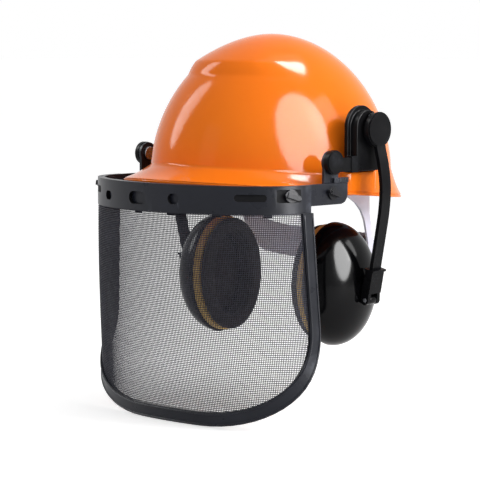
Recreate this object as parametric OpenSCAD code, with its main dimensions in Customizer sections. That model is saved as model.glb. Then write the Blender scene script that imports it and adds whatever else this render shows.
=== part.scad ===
// Forestry safety helmet: hard hat shell with a flip-up wire mesh face visor and cap-mounted ear muffs.
// Millimetres. +X is the wearer's left, -Y the front, +Z up. The origin is the centre of the head
// opening, at the level of the shell's rim.

/* [Shell] */
// Half of the dome's width at its foot
dome_half_w = 103; // [95:0.5:115]
// Half of the dome's length at its foot
dome_half_l = 116.5; // [108:0.5:130]
// Fore and aft place of the dome's middle
dome_y = 2.5; // [0:0.5:6]
// Height of the crown above the rim level
crown_h = 141.5; // [125:0.5:160]
// Height of the crease between dome and brim at the sides
crease_h = 19; // [14:0.5:24]
// How much higher the crease runs at the front
crease_lift = 8; // [0:0.5:12]
// Wall of the moulded shell
shell_wall = 2.6; // [2:0.1:4]
// Half of the brim's width
brim_half_w = 114.5; // [110:0.5:124]
// Reach of the peak in front of the centre
peak_reach = 142; // [134:0.5:150]
// Reach of the brim behind the centre
brim_rear = 127; // [120:0.5:145]
// Slope of the rim, front up, in degrees
rim_tilt = 5; // [2:0.5:8]
// Outward size of the raised crown's front step, as a share of the radius
step_swell = 0.1; // [0:0.01:0.14]
// Segments around the shell
shell_segments = 64; // [48:4:80]

/* [Accessory slots] */
// Outer face of the slot boss, from the centre
boss_x = 113.2; // [110:0.2:118]
// Width of the slot boss along the brim
boss_w = 38; // [32:1:44]
// Height of the slot boss top above the rim level
boss_top = 21; // [17:0.5:26]
// Width of the slot's opening
slot_w = 30; // [24:1:32]
// Thickness of the slot's opening
slot_t = 4.4; // [3:0.1:6]
// Fore and aft place of the slot's middle
slot_y = -1; // [-10:0.5:10]

/* [Harness] */
// Half of the headband's inside width
band_half_w = 80; // [70:0.5:86]
// Half of the headband's inside length
band_half_l = 98; // [88:0.5:102]
// Fore and aft place of the headband's middle
band_y = 4; // [0:0.5:8]
// Thickness of the headband
band_t = 2; // [1.2:0.1:3]
// Height of the headband
band_h = 28; // [20:1:34]
// Height of the headband's lower edge above the rim level
band_low = 2; // [0:0.5:8]
// Width of the webbing straps
strap_w = 20; // [14:1:26]
// Thickness of the webbing straps
strap_t = 1.4; // [1:0.1:2]
// Height of the cradle's top above the headband
cradle_rise = 60; // [50:1:66]
// Thickness of the sweatband
sweat_t = 3; // [2:0.2:5]
// Thickness of the nape strap
nape_t = 1.8; // [1.2:0.1:2.6]
// Radius of the ratchet knob
ratchet_r = 14; // [10:0.5:18]

/* [Side bracket] */
// Fore and aft place of the ear muff pivot
pivot_y = 5; // [0:0.5:10]
// Height of the ear muff pivot
pivot_z = 58; // [50:0.5:66]
// Radius of the ear muff pivot pin
pivot_pin_r = 4; // [3:0.1:5]
// Radius of the arm's round head
arm_head_r = 15.5; // [12:0.5:18]
// Thickness of the arm's round head
arm_head_t = 5.4; // [4.6:0.2:8]
// Width of the bracket's flange
bracket_w = 38; // [32:1:44]
// Height of the bracket's rounded top
bracket_top = 79; // [76:1:90]

/* [Ear muff] */
// Width of the spring arm
arm_w = 11.5; // [8:0.5:14]
// Thickness of the spring arm
arm_t = 3.6; // [2.6:0.2:5]
// Furthest reach of the arm's bow from the centre
arm_bow_x = 131; // [128:0.5:138]
// Fore and aft place of the cup's middle
cup_y = 8.5; // [0:0.5:12]
// Height of the cup's middle
cup_z = -81.5; // [-95:0.5:-76]
// Backward lean of the spring arm, in degrees
arm_lean = 2.5; // [0:0.5:5]
// Half of the cup's width
cup_half_w = 41.5; // [34:0.5:44]
// Half of the cup's height
cup_half_h = 55.5; // [46:0.5:58]
// Depth of the cup's shell
cup_depth = 36.5; // [28:0.5:42]
// Wall of the cup's shell
cup_wall = 2.5; // [1.8:0.1:4]
// Distance of the cushion's face from the centre
cushion_x = 51.5; // [46:0.5:60]
// Thickness of the cushion
cushion_t = 7.5; // [6:0.5:16]
// Thickness of the seal ring behind the cushion
seal_t = 10.2; // [4:0.2:12]
// How much smaller the cushion is than the cup all round
cushion_inset = 4.6; // [0.5:0.1:6]
// How much smaller the seal ring is than the cup all round
seal_inset = 2.2; // [0.5:0.1:4]
// Width of the cushion's padded ring
cushion_ring = 17; // [12:0.5:20]
// Inset of the seal's inner edge from the cup's edge
seal_ring = 8.5; // [6:0.5:11]
// Radius of the cup's swivel pin
cup_pin_r = 2; // [1.5:0.1:3]

/* [Visor] */
// Fore and aft place of the visor's pivot
visor_y = -45; // [-52:0.5:-40]
// Height of the visor's pivot
visor_z = 31; // [27:0.5:36]
// Radius of the visor's pivot knobs
knob_r = 10.5; // [8:0.5:13]
// Radius of the visor's pivot pins
visor_pin_r = 3.5; // [2.5:0.1:4.5]
// Half of the visor's width inside the top rail
rail_in_w = 116.6; // [115:0.2:122]
// Depth of the top rail's curve inside
rail_in_depth = 65.6; // [64.8:0.2:72]
// Fore and aft place where the rail's curve starts
rail_y = -82; // [-86:0.5:-80]
// Height of the top rail
rail_h = 24.5; // [18:0.5:26]
// Height of the top rail's upper edge
rail_top = 13; // [8:0.5:15]
// Thickness of the top rail
rail_t = 3.4; // [2.6:0.1:4.2]
// Thickness of the brow band behind the rail
brow_t = 3; // [2:0.1:3.4]
// Height of the visor below the rim level
visor_drop = 197; // [150:1:205]
// How much wider each side of the visor is at the bottom
visor_spread = 12; // [0:0.5:16]
// How far the visor's front slopes back toward the bottom
visor_slope = 22; // [0:0.5:26]
// Width of the frame around the mesh
frame_w = 12.5; // [8:0.5:16]
// Thickness of the frame around the mesh
frame_t = 4; // [3:0.2:6]
// Radius of the frame's lower corners
corner_r = 88; // [40:1:95]
// Thickness of the wire mesh
mesh_t = 0.8; // [0.6:0.1:1.4]
// Length of a twist lock's wing
wing_l = 16; // [12:0.5:16]

/* [Hidden] */
$fn = 64;
// Named clearances: between bodies, between fixed pieces, and of a pin in its bore
move_gap = 0.3;
fit_gap = 0.15;
bore_gap = 0.04;
eps = 0.01;

// The top rail's outer size: its wall grows outward, clear of the shell's peak
rail_half_w = rail_in_w + rail_t;
rail_depth = rail_in_depth + rail_t;

// ---- general solids -------------------------------------------------------------------------------

// Rings of equal length between two closing points
module sock(tip0, rings, tip1) {
  n = len(rings[0]);
  m = len(rings);
  pts = concat([tip0], [for (r = rings) each r], [tip1]);
  last = 1 + n * m;
  side = [for (i = [0:m - 2]) for (j = [0:n - 1]) let (k = (j + 1) % n, p = 1 + i * n, q = p + n)
    each [[p + j, q + j, q + k], [p + j, q + k, p + k]]];
  cap0 = [for (j = [0:n - 1]) [0, 1 + j, 1 + (j + 1) % n]];
  cap1 = [for (j = [0:n - 1]) let (q = 1 + (m - 1) * n) [last, q + (j + 1) % n, q + j]];
  polyhedron(points = pts, faces = concat(cap0, side, cap1));
}

// A sheet between two grids of points, a being the outer one
module slab(a, b) {
  m = len(a);
  n = len(a[0]);
  o = m * n;
  pts = concat([for (r = a) each r], [for (r = b) each r]);
  top = [for (i = [0:m - 2]) for (j = [0:n - 2]) let (p = i * n + j, q = p + n)
    each [[p, p + 1, q + 1], [p, q + 1, q]]];
  under = [for (i = [0:m - 2]) for (j = [0:n - 2]) let (p = o + i * n + j, q = p + n)
    each [[p, q + 1, p + 1], [p, q, q + 1]]];
  e0 = [for (j = [0:n - 2]) each [[j, o + j + 1, j + 1], [j, o + j, o + j + 1]]];
  z = (m - 1) * n;
  e1 = [for (j = [0:n - 2]) each [[z + j, z + j + 1, o + z + j + 1], [z + j, o + z + j + 1, o + z + j]]];
  e2 = [for (i = [0:m - 2]) let (p = i * n, q = p + n) each [[p, q, o + q], [p, o + q, o + p]]];
  e3 = [for (i = [0:m - 2]) let (p = i * n + n - 1, q = p + n) each [[p, o + q, q], [p, o + p, o + q]]];
  polyhedron(points = pts, faces = concat(top, under, e0, e1, e2, e3));
}

// A bar swept through sections of equal length, with flat ends
module swept(secs) {
  m = len(secs);
  n = len(secs[0]);
  pts = [for (s = secs) each s];
  side = [for (i = [0:m - 2]) for (j = [0:n - 1]) let (k = (j + 1) % n, p = i * n, q = p + n)
    each [[p + j, q + j, q + k], [p + j, q + k, p + k]]];
  e0 = [for (j = [1:n - 2]) [0, j, j + 1]];
  z = (m - 1) * n;
  e1 = [for (j = [1:n - 2]) [z, z + j + 1, z + j]];
  polyhedron(points = pts, faces = concat(side, e0, e1));
}

// A cylinder along X
module rod_x(r, x0, x1, y, z) {
  translate([x0, y, z])
    rotate([0, 90, 0])
      cylinder(r = r, h = x1 - x0);
}

// A cylinder along Y
module rod_y(r, y0, y1, x, z) {
  translate([x, y0, z])
    rotate([-90, 0, 0])
      cylinder(r = r, h = y1 - y0);
}

// A box between two corners
module span(a, b) {
  translate(a)
    cube(b - a);
}

// A round-ended flat ring sector between two ellipses, from angle a0 to a1
module arc_wall(a_in, b_in, a_out, b_out, a0, a1, steps) {
  polygon(concat(
    [for (i = [0:steps]) let (t = a0 + (a1 - a0) * i / steps) [a_out * cos(t), b_out * sin(t)]],
    [for (i = [steps:-1:0]) let (t = a0 + (a1 - a0) * i / steps) [a_in * cos(t), b_in * sin(t)]]));
}

// A closed ellipse outline
function oval(a, b, n) = [for (i = [0:n - 1]) [a * cos(360 * i / n), b * sin(360 * i / n)]];

module left() {
  children();
}

module right() {
  mirror([1, 0, 0])
    children();
}

// ---- shell ----------------------------------------------------------------------------------------

dome_foot = 15.5;
dome_power = 1.93;
peak_power = 2.15;
brim_lip = 2.6;
step_low = 0.685;
step_high = 0.79;

function lift(a) = max(0, -sin(a));
function crease_z(a) = crease_h + crease_lift * pow(lift(a), 1.5);
function narrowing(z, top) =
  pow(max(0, 1 - pow(max(0, (z - dome_foot) / (top - dome_foot)), dome_power)), 1 / dome_power);
// The raised crown fades out to both sides of the front
function front_share(a) =
  let (d = abs(((a + 450) % 360) - 180), e = 180 - d) e < 32 ? 1 : e > 66 ? 0 : pow(cos((e - 32) / 34 * 90), 2);
function swell(a, g) =
  g <= step_low ? 0
  : g < step_high ? step_swell * front_share(a) * (g - step_low) / (step_high - step_low)
  : step_swell * front_share(a) * pow((1 - g) / (1 - step_high), 0.8);
function dome_pt(a, g, w) =
  let (top = crown_h - w, z = crease_z(a) + (top - crease_z(a)) * g,
    k = narrowing(z, top) * (1 + swell(a, g)))
  [(dome_half_w - w) * k * cos(a), dome_y + (dome_half_l - w) * k * sin(a), z];
function rim_y(a, w) = sin(a) < 0
  ? -(peak_reach - w) * pow(-sin(a), 2 / peak_power) : (brim_rear - w) * sin(a);
function rim_x(a, w) = sin(a) < 0
  ? (brim_half_w - w) * sign(cos(a)) * pow(abs(cos(a)), 2 / peak_power) : (brim_half_w - w) * cos(a);
function rim_pt(a, w, up) =
  [rim_x(a, w), rim_y(a, w), -rim_y(a, w) * tan(rim_tilt) + up];
function brim_pt(a, t, w, up) =
  let (p = dome_pt(a, 0, w), q = rim_pt(a, w, up), v = t + 0.1 * sin(180 * t))
  [p[0] + (q[0] - p[0]) * t, p[1] + (q[1] - p[1]) * t, p[2] + (q[2] - p[2]) * v];

shell_az = [for (i = [0:shell_segments - 1]) 360 * i / shell_segments];
dome_g = [0.035, 0.1, 0.18, 0.27, 0.36, 0.45, 0.54, 0.62, step_low, (step_low + step_high) / 2, step_high,
  0.82, 0.87, 0.915, 0.95, 0.975, 0.992];
brim_t = [0, 0.25, 0.5, 0.75];

module shell_skin() {
  outer = concat(
    [[for (a = shell_az) rim_pt(a, 0, 0)], [for (a = shell_az) rim_pt(a, 0, brim_lip)]],
    [for (i = [len(brim_t) - 1:-1:0]) [for (a = shell_az) brim_pt(a, brim_t[i], 0, brim_lip)]],
    [for (g = dome_g) [for (a = shell_az) dome_pt(a, g, 0)]]);
  inner = concat(
    [for (i = [len(dome_g) - 1:-1:0]) [for (a = shell_az) dome_pt(a, dome_g[i], shell_wall)]],
    [for (t = brim_t) [for (a = shell_az) brim_pt(a, t, shell_wall, 0)]],
    [[for (a = shell_az) rim_pt(a, shell_wall, 0)]]);
  sock([0, dome_y, crown_h - shell_wall], concat(inner, outer), [0, dome_y, crown_h]);
}

boss_in = dome_half_w - 1.8;
slot_x = boss_x - 5.2;

module slot_boss() {
  y0 = slot_y - boss_w / 2;
  y1 = slot_y + boss_w / 2;
  translate([0, 0, 1])
    linear_extrude(height = boss_top - 1)
      polygon([[boss_in, y0 - 6], [boss_x - 4, y0 - 3], [boss_x, y0 + 3], [boss_x, y1 - 3],
        [boss_x - 4, y1 + 3], [boss_in, y1 + 6]]);
}

module slot_cut() {
  span([slot_x - slot_t / 2, slot_y - slot_w / 2, boss_top - 16],
    [slot_x + slot_t / 2, slot_y + slot_w / 2, boss_top + 30]);
}

module shell() {
  color([0.98, 0.45, 0.13])
    difference() {
      union() {
        shell_skin();
        left() slot_boss();
        right() slot_boss();
      }
      left() slot_cut();
      right() slot_cut();
    }
}

// ---- harness --------------------------------------------------------------------------------------

band_top = band_low + band_h;
key_az = [-52, 52, 128, 232];
key_half = 6;
key_low = band_top - 14;
key_top = band_top + 10;
strap_foot = band_top + 2;

function band_pt(a, off, z) = [(band_half_w + off) * cos(a), band_y + (band_half_l + off) * sin(a), z];

module headband() {
  color([0.75, 0.74, 0.84])
    difference() {
      translate([0, band_y, band_low])
        linear_extrude(height = band_h)
          difference() {
            polygon(oval(band_half_w + band_t, band_half_l + band_t, 72));
            polygon(oval(band_half_w, band_half_l, 72));
          }
      for (s = [-1, 1]) {
        for (y = [16, 40]) {
          rod_x(stud_r + bore_gap, s > 0 ? 60 : -90, s > 0 ? 90 : -60, y, stud_z);
        }
      }
    }
}

module sweatband() {
  color([0.2, 0.2, 0.22])
    translate([0, band_y, band_low + 1])
      linear_extrude(height = band_h)
        arc_wall(band_half_w - sweat_t - fit_gap, band_half_l - sweat_t - fit_gap,
          band_half_w - fit_gap, band_half_l - fit_gap, -150, -30, 36);
}

// Where the shell's inside lies at an azimuth and a height, less a gap
function inside_pt(a, z, gap) =
  let (w = shell_wall + gap, k = narrowing(z, crown_h - w))
  [(dome_half_w - w) * k * cos(a), dome_y + (dome_half_l - w) * k * sin(a), z];

module key_block(a) {
  zs = [crease_h + 4, (crease_h + key_top) / 2 + 2, key_top];
  as = [for (i = [-3:3]) a + key_half * i / 3];
  slab([for (z = zs) [for (t = as) inside_pt(t, z, 0.6)]],
    [for (z = zs) [for (t = as) band_pt(t, band_t + move_gap, z)]]);
}

module strap_keys() {
  color([0.7, 0.69, 0.8])
    for (a = key_az) {
      key_block(a);
    }
}

// Reach of the headband's outside along an azimuth
function band_reach(a, off) =
  1 / sqrt(pow(cos(a) / (band_half_w + off), 2) + pow(sin(a) / (band_half_l + off), 2));

module crown_strap(a, over) {
  r = band_reach(a, band_t) - 0.2;
  h = cradle_rise + over;
  translate([0, band_y, strap_foot])
    rotate([0, 0, a])
      rotate([90, 0, 0])
        translate([0, 0, -strap_w / 2])
          linear_extrude(height = strap_w)
            arc_wall(r - strap_t, h - strap_t, r, h, 0, 180, 48);
}

module crown_strap_left() {
  color([0.28, 0.28, 0.32])
    crown_strap(-52, 0);
}

module crown_strap_right() {
  color([0.28, 0.28, 0.32])
    crown_strap(232, strap_t + 3 * move_gap);
}

module crown_pad() {
  r = band_reach(52, band_t) - 0.2 - strap_t;
  h = cradle_rise - strap_t;
  color([0.22, 0.22, 0.25])
    translate([0, band_y, strap_foot])
      rotate_extrude()
        polygon(concat(
          [for (x = [0:4:32]) [x, h * sqrt(1 - pow(x / (r - 6), 2)) - move_gap]],
          [for (x = [32:-4:0]) [x, h * sqrt(1 - pow(x / (r - 6), 2)) - move_gap - 5]]));
}

stud_r = 2.5;
stud_z = band_low + 9;

// The nape strap's lower and upper edge, as fore and aft place and height; it runs from the headband's
// side down and round behind the head
nape_low = [[3, 3], [12, -3], [24, -9], [34, -17], [41, -26], [46, -38], [53, -56], [62, -64], [74, -68],
  [86, -71], [96, -74]];
nape_up = [[47, 22], [50, 14], [52, 4], [53, -8], [54, -18], [56, -27], [62, -33], [70, -37], [79, -40],
  [89, -42], [97, -44]];
nape_rear_low = -75;
nape_rear_up = -45;
nape_mid = (nape_rear_low + nape_rear_up) / 2;
tail_gap = 5;

// A y on the strap becomes an angle round the headband
function nape_az(y) = asin((y - 4) / 98);
function nape_row(lo, up) = [for (t = [0:0.25:1]) [lo[0] + (up[0] - lo[0]) * t, lo[1] + (up[1] - lo[1]) * t]];

module nape_strap(tail_up) {
  ends = [for (i = [0:len(nape_low) - 1]) nape_row([nape_az(nape_low[i][0]), nape_low[i][1]],
    [nape_az(nape_up[i][0]), nape_up[i][1]])];
  z0 = tail_up ? nape_mid + tail_gap : nape_rear_low;
  z1 = tail_up ? nape_rear_up : nape_mid - tail_gap;
  rows = concat([for (i = [0:len(ends) - 2]) each [ends[i], (ends[i] + ends[i + 1]) / 2]],
    [ends[len(ends) - 1], nape_row([77, nape_rear_low], [77, nape_rear_up]),
      nape_row([80, nape_rear_low], [80, nape_rear_up])],
    [for (t = [81, 85, 89, 93, 98]) nape_row([t, z0], [t, z1])]);
  difference() {
    slab([for (r = rows) [for (p = r) band_pt(p[0], band_t + fit_gap + nape_t, p[1])]],
      [for (r = rows) [for (p = r) band_pt(p[0], band_t + fit_gap, p[1])]]);
    for (y = [16, 40]) {
      rod_x(stud_r + bore_gap, 60, 95, y, stud_z);
    }
  }
}

module nape_strap_left() {
  color([0.75, 0.74, 0.84])
    left() nape_strap(true);
}

module nape_strap_right() {
  color([0.75, 0.74, 0.84])
    right() nape_strap(false);
}

module strap_stud(y) {
  x = band_half_w * sqrt(1 - pow((y - band_y) / band_half_l, 2));
  // the head stands clear of the strap's curve
  rise = (stud_r + 1.6) * pow(band_half_w / band_half_l, 2) * (y - band_y) / x;
  top = x + band_t + fit_gap + nape_t + rise + 0.1;
  rod_x(stud_r, x - 0.5, top + 0.4, y, stud_z);
  rod_x(stud_r + 1.6, top, top + 1.6, y, stud_z);
}

module strap_studs() {
  color([0.66, 0.65, 0.76])
    for (y = [16, 40]) {
      left() strap_stud(y);
      right() strap_stud(y);
    }
}

case_half_w = 30;
// The pinion sits between the strap's two tails, behind the pad
pinion_back = band_y + band_half_l + band_t + fit_gap + nape_t;
case_back = pinion_back + 8;
ratchet_pin_r = 3;

module nape_pad() {
  color([0.2, 0.2, 0.22])
    translate([0, band_y, nape_rear_low + 1])
      linear_extrude(height = nape_rear_up - nape_rear_low - 2)
        arc_wall(band_half_w + band_t - 4, band_half_l + band_t - 4,
          band_half_w + band_t - move_gap, band_half_l + band_t - move_gap, 62, 118, 24);
}

module ratchet_case() {
  r = (nape_rear_up - nape_rear_low) / 2 - 1;
  color([0.68, 0.67, 0.78])
    difference() {
      translate([0, case_back, nape_mid])
        rotate([90, 0, 0])
          linear_extrude(height = 24)
            union() {
              translate([-case_half_w + r, -r])
                square([2 * (case_half_w - r), 2 * r]);
              translate([-case_half_w + r, 0])
                circle(r = r);
              translate([case_half_w - r, 0])
                circle(r = r);
            }
      translate([0, band_y, nape_rear_low - 5])
        linear_extrude(height = 50)
          polygon(oval(band_half_w + band_t + 2 * fit_gap + nape_t, band_half_l + band_t + 2 * fit_gap + nape_t, 72));
      rod_y(ratchet_pin_r + bore_gap, case_back - 30, case_back + 1, 0, nape_mid);
    }
}

module ratchet_knob() {
  color([0.15, 0.15, 0.17])
    union() {
      difference() {
        rod_y(ratchet_r, case_back + move_gap, case_back + 10, 0, nape_mid);
        for (i = [0:11]) {
          translate([0, case_back - 1, nape_mid])
            rotate([0, i * 30, 0])
              translate([ratchet_r + 1.2, 0, 0])
                rotate([-90, 0, 0])
                  cylinder(r = 2.2, h = 12);
        }
      }
      rod_y(ratchet_pin_r, pinion_back + 0.05, case_back + 1, 0, nape_mid);
      rod_y(ratchet_pin_r - 1 - bore_gap, pinion_back - nape_t, pinion_back + 1, 0, nape_mid);
    }
}

module ratchet_pinion() {
  color([0.35, 0.35, 0.38])
    difference() {
      union() {
        rod_y(3.4, pinion_back - nape_t, pinion_back - 0.25, 0, nape_mid);
        for (i = [0:7]) {
          translate([0, pinion_back - nape_t, nape_mid])
            rotate([0, i * 45, 0])
              translate([-0.6, 0, 0])
                cube([1.2, nape_t - 0.25, 4.4]);
        }
      }
      rod_y(ratchet_pin_r - 1, pinion_back - 5, pinion_back + 5, 0, nape_mid);
    }
}

// ---- side brackets --------------------------------------------------------------------------------

flange_x = slot_x - 0.5;
body_x = flange_x + 4;
face_x = body_x + 7.5;
bracket_y0 = slot_y - bracket_w / 2;
bracket_y1 = slot_y + bracket_w / 2;
arm_low = 22.5;
arm_high = 34.5;

// The upright's outline in fore and aft place and height
module tombstone(y0, y1, z0, z1) {
  r = (y1 - y0) / 2;
  union() {
    translate([y0, z0])
      square([y1 - y0, z1 - r - z0]);
    translate([(y0 + y1) / 2, z1 - r])
      circle(r = r);
  }
}

// Stands a fore and aft outline up between two places along X
module plate_x(x0, x1) {
  translate([x0, 0, 0])
    rotate([90, 0, 90])
      linear_extrude(height = x1 - x0)
        children();
}

module side_bracket() {
  difference() {
    union() {
      plate_x(flange_x, body_x)
        tombstone(bracket_y0, bracket_y1, boss_top + fit_gap, bracket_top);
      plate_x(body_x - eps, face_x)
        tombstone(bracket_y0 + 4, bracket_y1 - 3, boss_top + fit_gap + 1, bracket_top - 4);
      span([slot_x - slot_t / 2 + fit_gap, slot_y - slot_w / 2 + fit_gap, boss_top - 14],
        [slot_x + slot_t / 2 - fit_gap, slot_y + slot_w / 2 - fit_gap, boss_top + 6]);
    }
    rod_x(pivot_pin_r + bore_gap, body_x - 1, face_x + 1, pivot_y, pivot_z);
  }
}

module side_bracket_left() {
  color([0.1, 0.1, 0.11])
    left() side_bracket();
}

module side_bracket_right() {
  color([0.1, 0.1, 0.11])
    right() side_bracket();
}

lug_x0 = 112.2;
lug_x1 = 115.2;
varm_x0 = lug_x1 + move_gap;
varm_x1 = varm_x0 + 5;

module visor_arm() {
  difference() {
    union() {
      rod_x(knob_r, varm_x0, varm_x1 - 0.8, visor_y, visor_z);
      rod_x(knob_r - 1, varm_x0, varm_x1, visor_y, visor_z);
      span([varm_x0, visor_y, arm_low], [varm_x1 - 1.2, bracket_y0 + 4, arm_high]);
      span([varm_x0 - 2.2, bracket_y0 - 4, arm_low - 1], [varm_x1 - 0.6, bracket_y0 + 4, arm_high + 1]);
    }
    rod_x(visor_pin_r + bore_gap, varm_x0 - 1, varm_x1 - 1.6, visor_y, visor_z);
  }
}

module visor_arm_left() {
  color([0.1, 0.1, 0.11])
    left() visor_arm();
}

module visor_arm_right() {
  color([0.1, 0.1, 0.11])
    right() visor_arm();
}

module visor_pin() {
  rod_x(visor_pin_r, lug_x0 - 1.2, varm_x1 - 1.8, visor_y, visor_z);
  rod_x(visor_pin_r + 2.5, lug_x0 - 2.2, lug_x0 - move_gap, visor_y, visor_z);
}

module visor_pin_left() {
  color([0.5, 0.5, 0.53])
    left() visor_pin();
}

module visor_pin_right() {
  color([0.5, 0.5, 0.53])
    right() visor_pin();
}

// ---- visor ----------------------------------------------------------------------------------------

brow_out_w = rail_half_w - rail_t - fit_gap * 2;
brow_out_d = rail_depth - rail_t - fit_gap * 2;
tab_x1 = brow_out_w;
tab_x0 = tab_x1 - brow_t;
tab_end = visor_y + 20;
tab_low = rail_top - 18.4;
tab_edge = 8;
rail_low = rail_top - rail_h;
bar_end = rail_y + 6;
lock_front_y = -97.5;
lock_r = 3.6;
lock_z = 4.5;

// A rail outline: half an ellipse in front, then straight back to an end
function rail_line(w, d, y_end, n) = concat([[w, y_end]],
  [for (i = [0:n]) let (t = -180 * i / n) [w * cos(t), rail_y + d * sin(t)]], [[-w, y_end]]);
function reversed(l) = [for (i = [len(l) - 1:-1:0]) l[i]];

module rail_wall(w0, d0, w1, d1, y_end, n) {
  polygon(concat(rail_line(w1, d1, y_end, n), reversed(rail_line(w0, d0, y_end, n))));
}

// Places a child on the rail's outside at an angle from the side, facing out along +X
module on_rail(t, off) {
  x = (rail_half_w + off) * cos(t);
  y = rail_y - (rail_depth + off) * sin(t);
  nx = cos(t) / rail_half_w;
  ny = -sin(t) / rail_depth;
  translate([x, y, 0])
    rotate([0, 0, atan2(ny, nx)])
      children();
}

lock_t = asin((rail_y - lock_front_y) / rail_depth);

module lock_bores(gap) {
  for (m = [0, 1]) {
    mirror([m, 0, 0]) {
      on_rail(lock_t, 0)
        rod_x(lock_r + gap, -14, 4, 0, lock_z);
      rod_x(lock_r + gap, tab_x0 - 4, tab_x1 + 4, visor_y, lock_z);
    }
  }
}

module brow_band() {
  color([0.17, 0.18, 0.22])
    difference() {
      union() {
        translate([0, 0, rail_low + 1])
          linear_extrude(height = rail_h - 1)
            rail_wall(brow_out_w - brow_t, brow_out_d - brow_t, brow_out_w, brow_out_d, rail_y + 2, 56);
        for (m = [0, 1]) {
          mirror([m, 0, 0])
            plate_x(tab_x0, tab_x1)
              polygon([[rail_y, rail_top], [tab_end, rail_top], [tab_end, tab_low + tab_edge],
                [tab_end - 1, tab_low + 4.5], [tab_end - 3.5, tab_low + 1.6], [tab_end - tab_edge, tab_low],
                [rail_y + 8, tab_low], [rail_y, rail_low + 1]]);
        }
      }
      lock_bores(bore_gap);
    }
}

// The sheet of the visor below the rail: u runs from -1 at the right edge to 1 at the left edge
side_straight = bar_end - rail_y;
function sheet_t(z) = (rail_top - z) / (rail_top + visor_drop);
function sheet_w(z) = rail_half_w + visor_spread * pow(sheet_t(z), 0.8) - rail_t / 2;
function sheet_d(z) = rail_depth - (visor_slope * 0.6) * pow(sheet_t(z), 1.6) - rail_t / 2;
function sheet_y(z) = rail_y + (visor_slope * 0.4) * pow(sheet_t(z), 1.6);
// Length along the sheet from the front's middle, by steps round the ellipse
arc_steps = 48;
function arc_len(i) = i == 0 ? 0 : let (a = 90 * (i - 1) / arc_steps, b = 90 * i / arc_steps)
  arc_len(i - 1) + norm([rail_half_w * (sin(b) - sin(a)), rail_depth * (cos(b) - cos(a))]);
arc_table = [for (i = [0:arc_steps]) [arc_len(i), 90 * i / arc_steps]];
arc_total = arc_table[arc_steps][0];
half_len = arc_total + side_straight;

// A point of the sheet at a distance s along it from the middle, a height z and an offset outward
function sheet_pt(s, z, off) =
  let (d = abs(s), sg = s < 0 ? -1 : 1, a = d < arc_total ? lookup(d, arc_table) : 90,
    back = d < arc_total ? 0 : d - arc_total, w = sheet_w(z), b = sheet_d(z),
    nx = sin(a) / w, ny = -cos(a) / b, nl = norm([nx, ny]))
  [sg * (w * sin(a) + off * nx / nl), sheet_y(z) - b * cos(a) + back + off * ny / nl, z];

// The visor's outline in its own sheet, from the left top corner round the bottom to the right one,
// drawn a distance inside the edge
corner_w = corner_r * 1.4;
function outline(inset) = let (h = half_len - inset, zb = -visor_drop + inset, rw = corner_w - inset,
    rh = corner_r - inset, n = 18)
  concat(
    [for (i = [0:7]) [h, rail_low + 1 + (zb + rh - rail_low - 1) * i / 8]],
    [for (i = [0:n]) let (t = 90 * i / n) [h - rw + rw * cos(t), zb + rh - rh * sin(t)]],
    [for (i = [1:9]) [(h - rw) * (1 - i / 5), zb]],
    [for (i = [n:-1:0]) let (t = 90 * i / n) [-(h - rw + rw * cos(t)), zb + rh - rh * sin(t)]],
    [for (i = [7:-1:0]) [-h, rail_low + 1 + (zb + rh - rail_low - 1) * i / 8]]);

module frame_rim() {
  o = outline(0);
  p = outline(frame_w);
  h = frame_t / 2;
  swept([for (i = [0:len(o) - 1]) [sheet_pt(o[i][0], o[i][1], h), sheet_pt(p[i][0], p[i][1], h),
    sheet_pt(p[i][0], p[i][1], -h), sheet_pt(o[i][0], o[i][1], -h)]]);
}

recess_d = 1.4;

// A slot with round ends, cut into the rail from outside
module rail_recess(t, w, z0, z1, depth = recess_d) {
  r = (z1 - z0) / 2;
  on_rail(t, 0) {
    span([-depth, -w / 2 + r, z0], [4, w / 2 - r, z1]);
    for (s = [-1, 1]) {
      rod_x(r, -depth, 4, s * (w / 2 - r), z0 + r);
    }
  }
}

// Three vents go through the rail, as far as the brow band behind it
module rail_vents() {
  rail_recess(122, 12, -5, 3, 2 * rail_t);
  rail_recess(98, 23, -6, 5, 2 * rail_t);
  rail_recess(77, 12, -4, 5, 2 * rail_t);
}

module visor_frame() {
  color([0.17, 0.18, 0.22])
    union() {
      difference() {
        translate([0, 0, rail_low])
          linear_extrude(height = rail_h)
            rail_wall(rail_half_w - rail_t, rail_depth - rail_t, rail_half_w, rail_depth, bar_end, 56);
        rail_vents();
        for (m = [0, 1]) {
          mirror([m, 0, 0]) {
            rail_recess(38, 28, 0, 6);
            rail_recess(lock_t + 1, 30, lock_z - 5.5, lock_z + 5.5);
          }
        }
        lock_bores(bore_gap);
      }
      frame_rim();
    }
}

mesh_rows = 12;
mesh_inset = frame_w + move_gap;

mesh_rw = corner_w - mesh_inset;
mesh_rh = corner_r - mesh_inset;
mesh_low = -visor_drop + mesh_inset;
mesh_half = half_len - mesh_inset;
mesh_top = rail_low - move_gap;
// Each column of the mesh ends where the rounded outline is
function mesh_foot(s) = abs(s) < mesh_half - mesh_rw
  ? mesh_low
  : mesh_low + mesh_rh - mesh_rh * sqrt(max(0, 1 - pow((abs(s) - mesh_half + mesh_rw) / mesh_rw, 2)));
function mesh_col(s, off) = [for (j = [0:mesh_rows])
  sheet_pt(s, mesh_top + (mesh_foot(s) - mesh_top) * j / mesh_rows, off)];

module visor_mesh() {
  n = 36;
  cols = [for (i = [-n:n]) mesh_half * sin(90 * i / n)];
  color([0.72, 0.72, 0.74])
    slab([for (s = cols) mesh_col(s, mesh_t / 2)], [for (s = cols) mesh_col(s, -mesh_t / 2)]);
}

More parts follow.
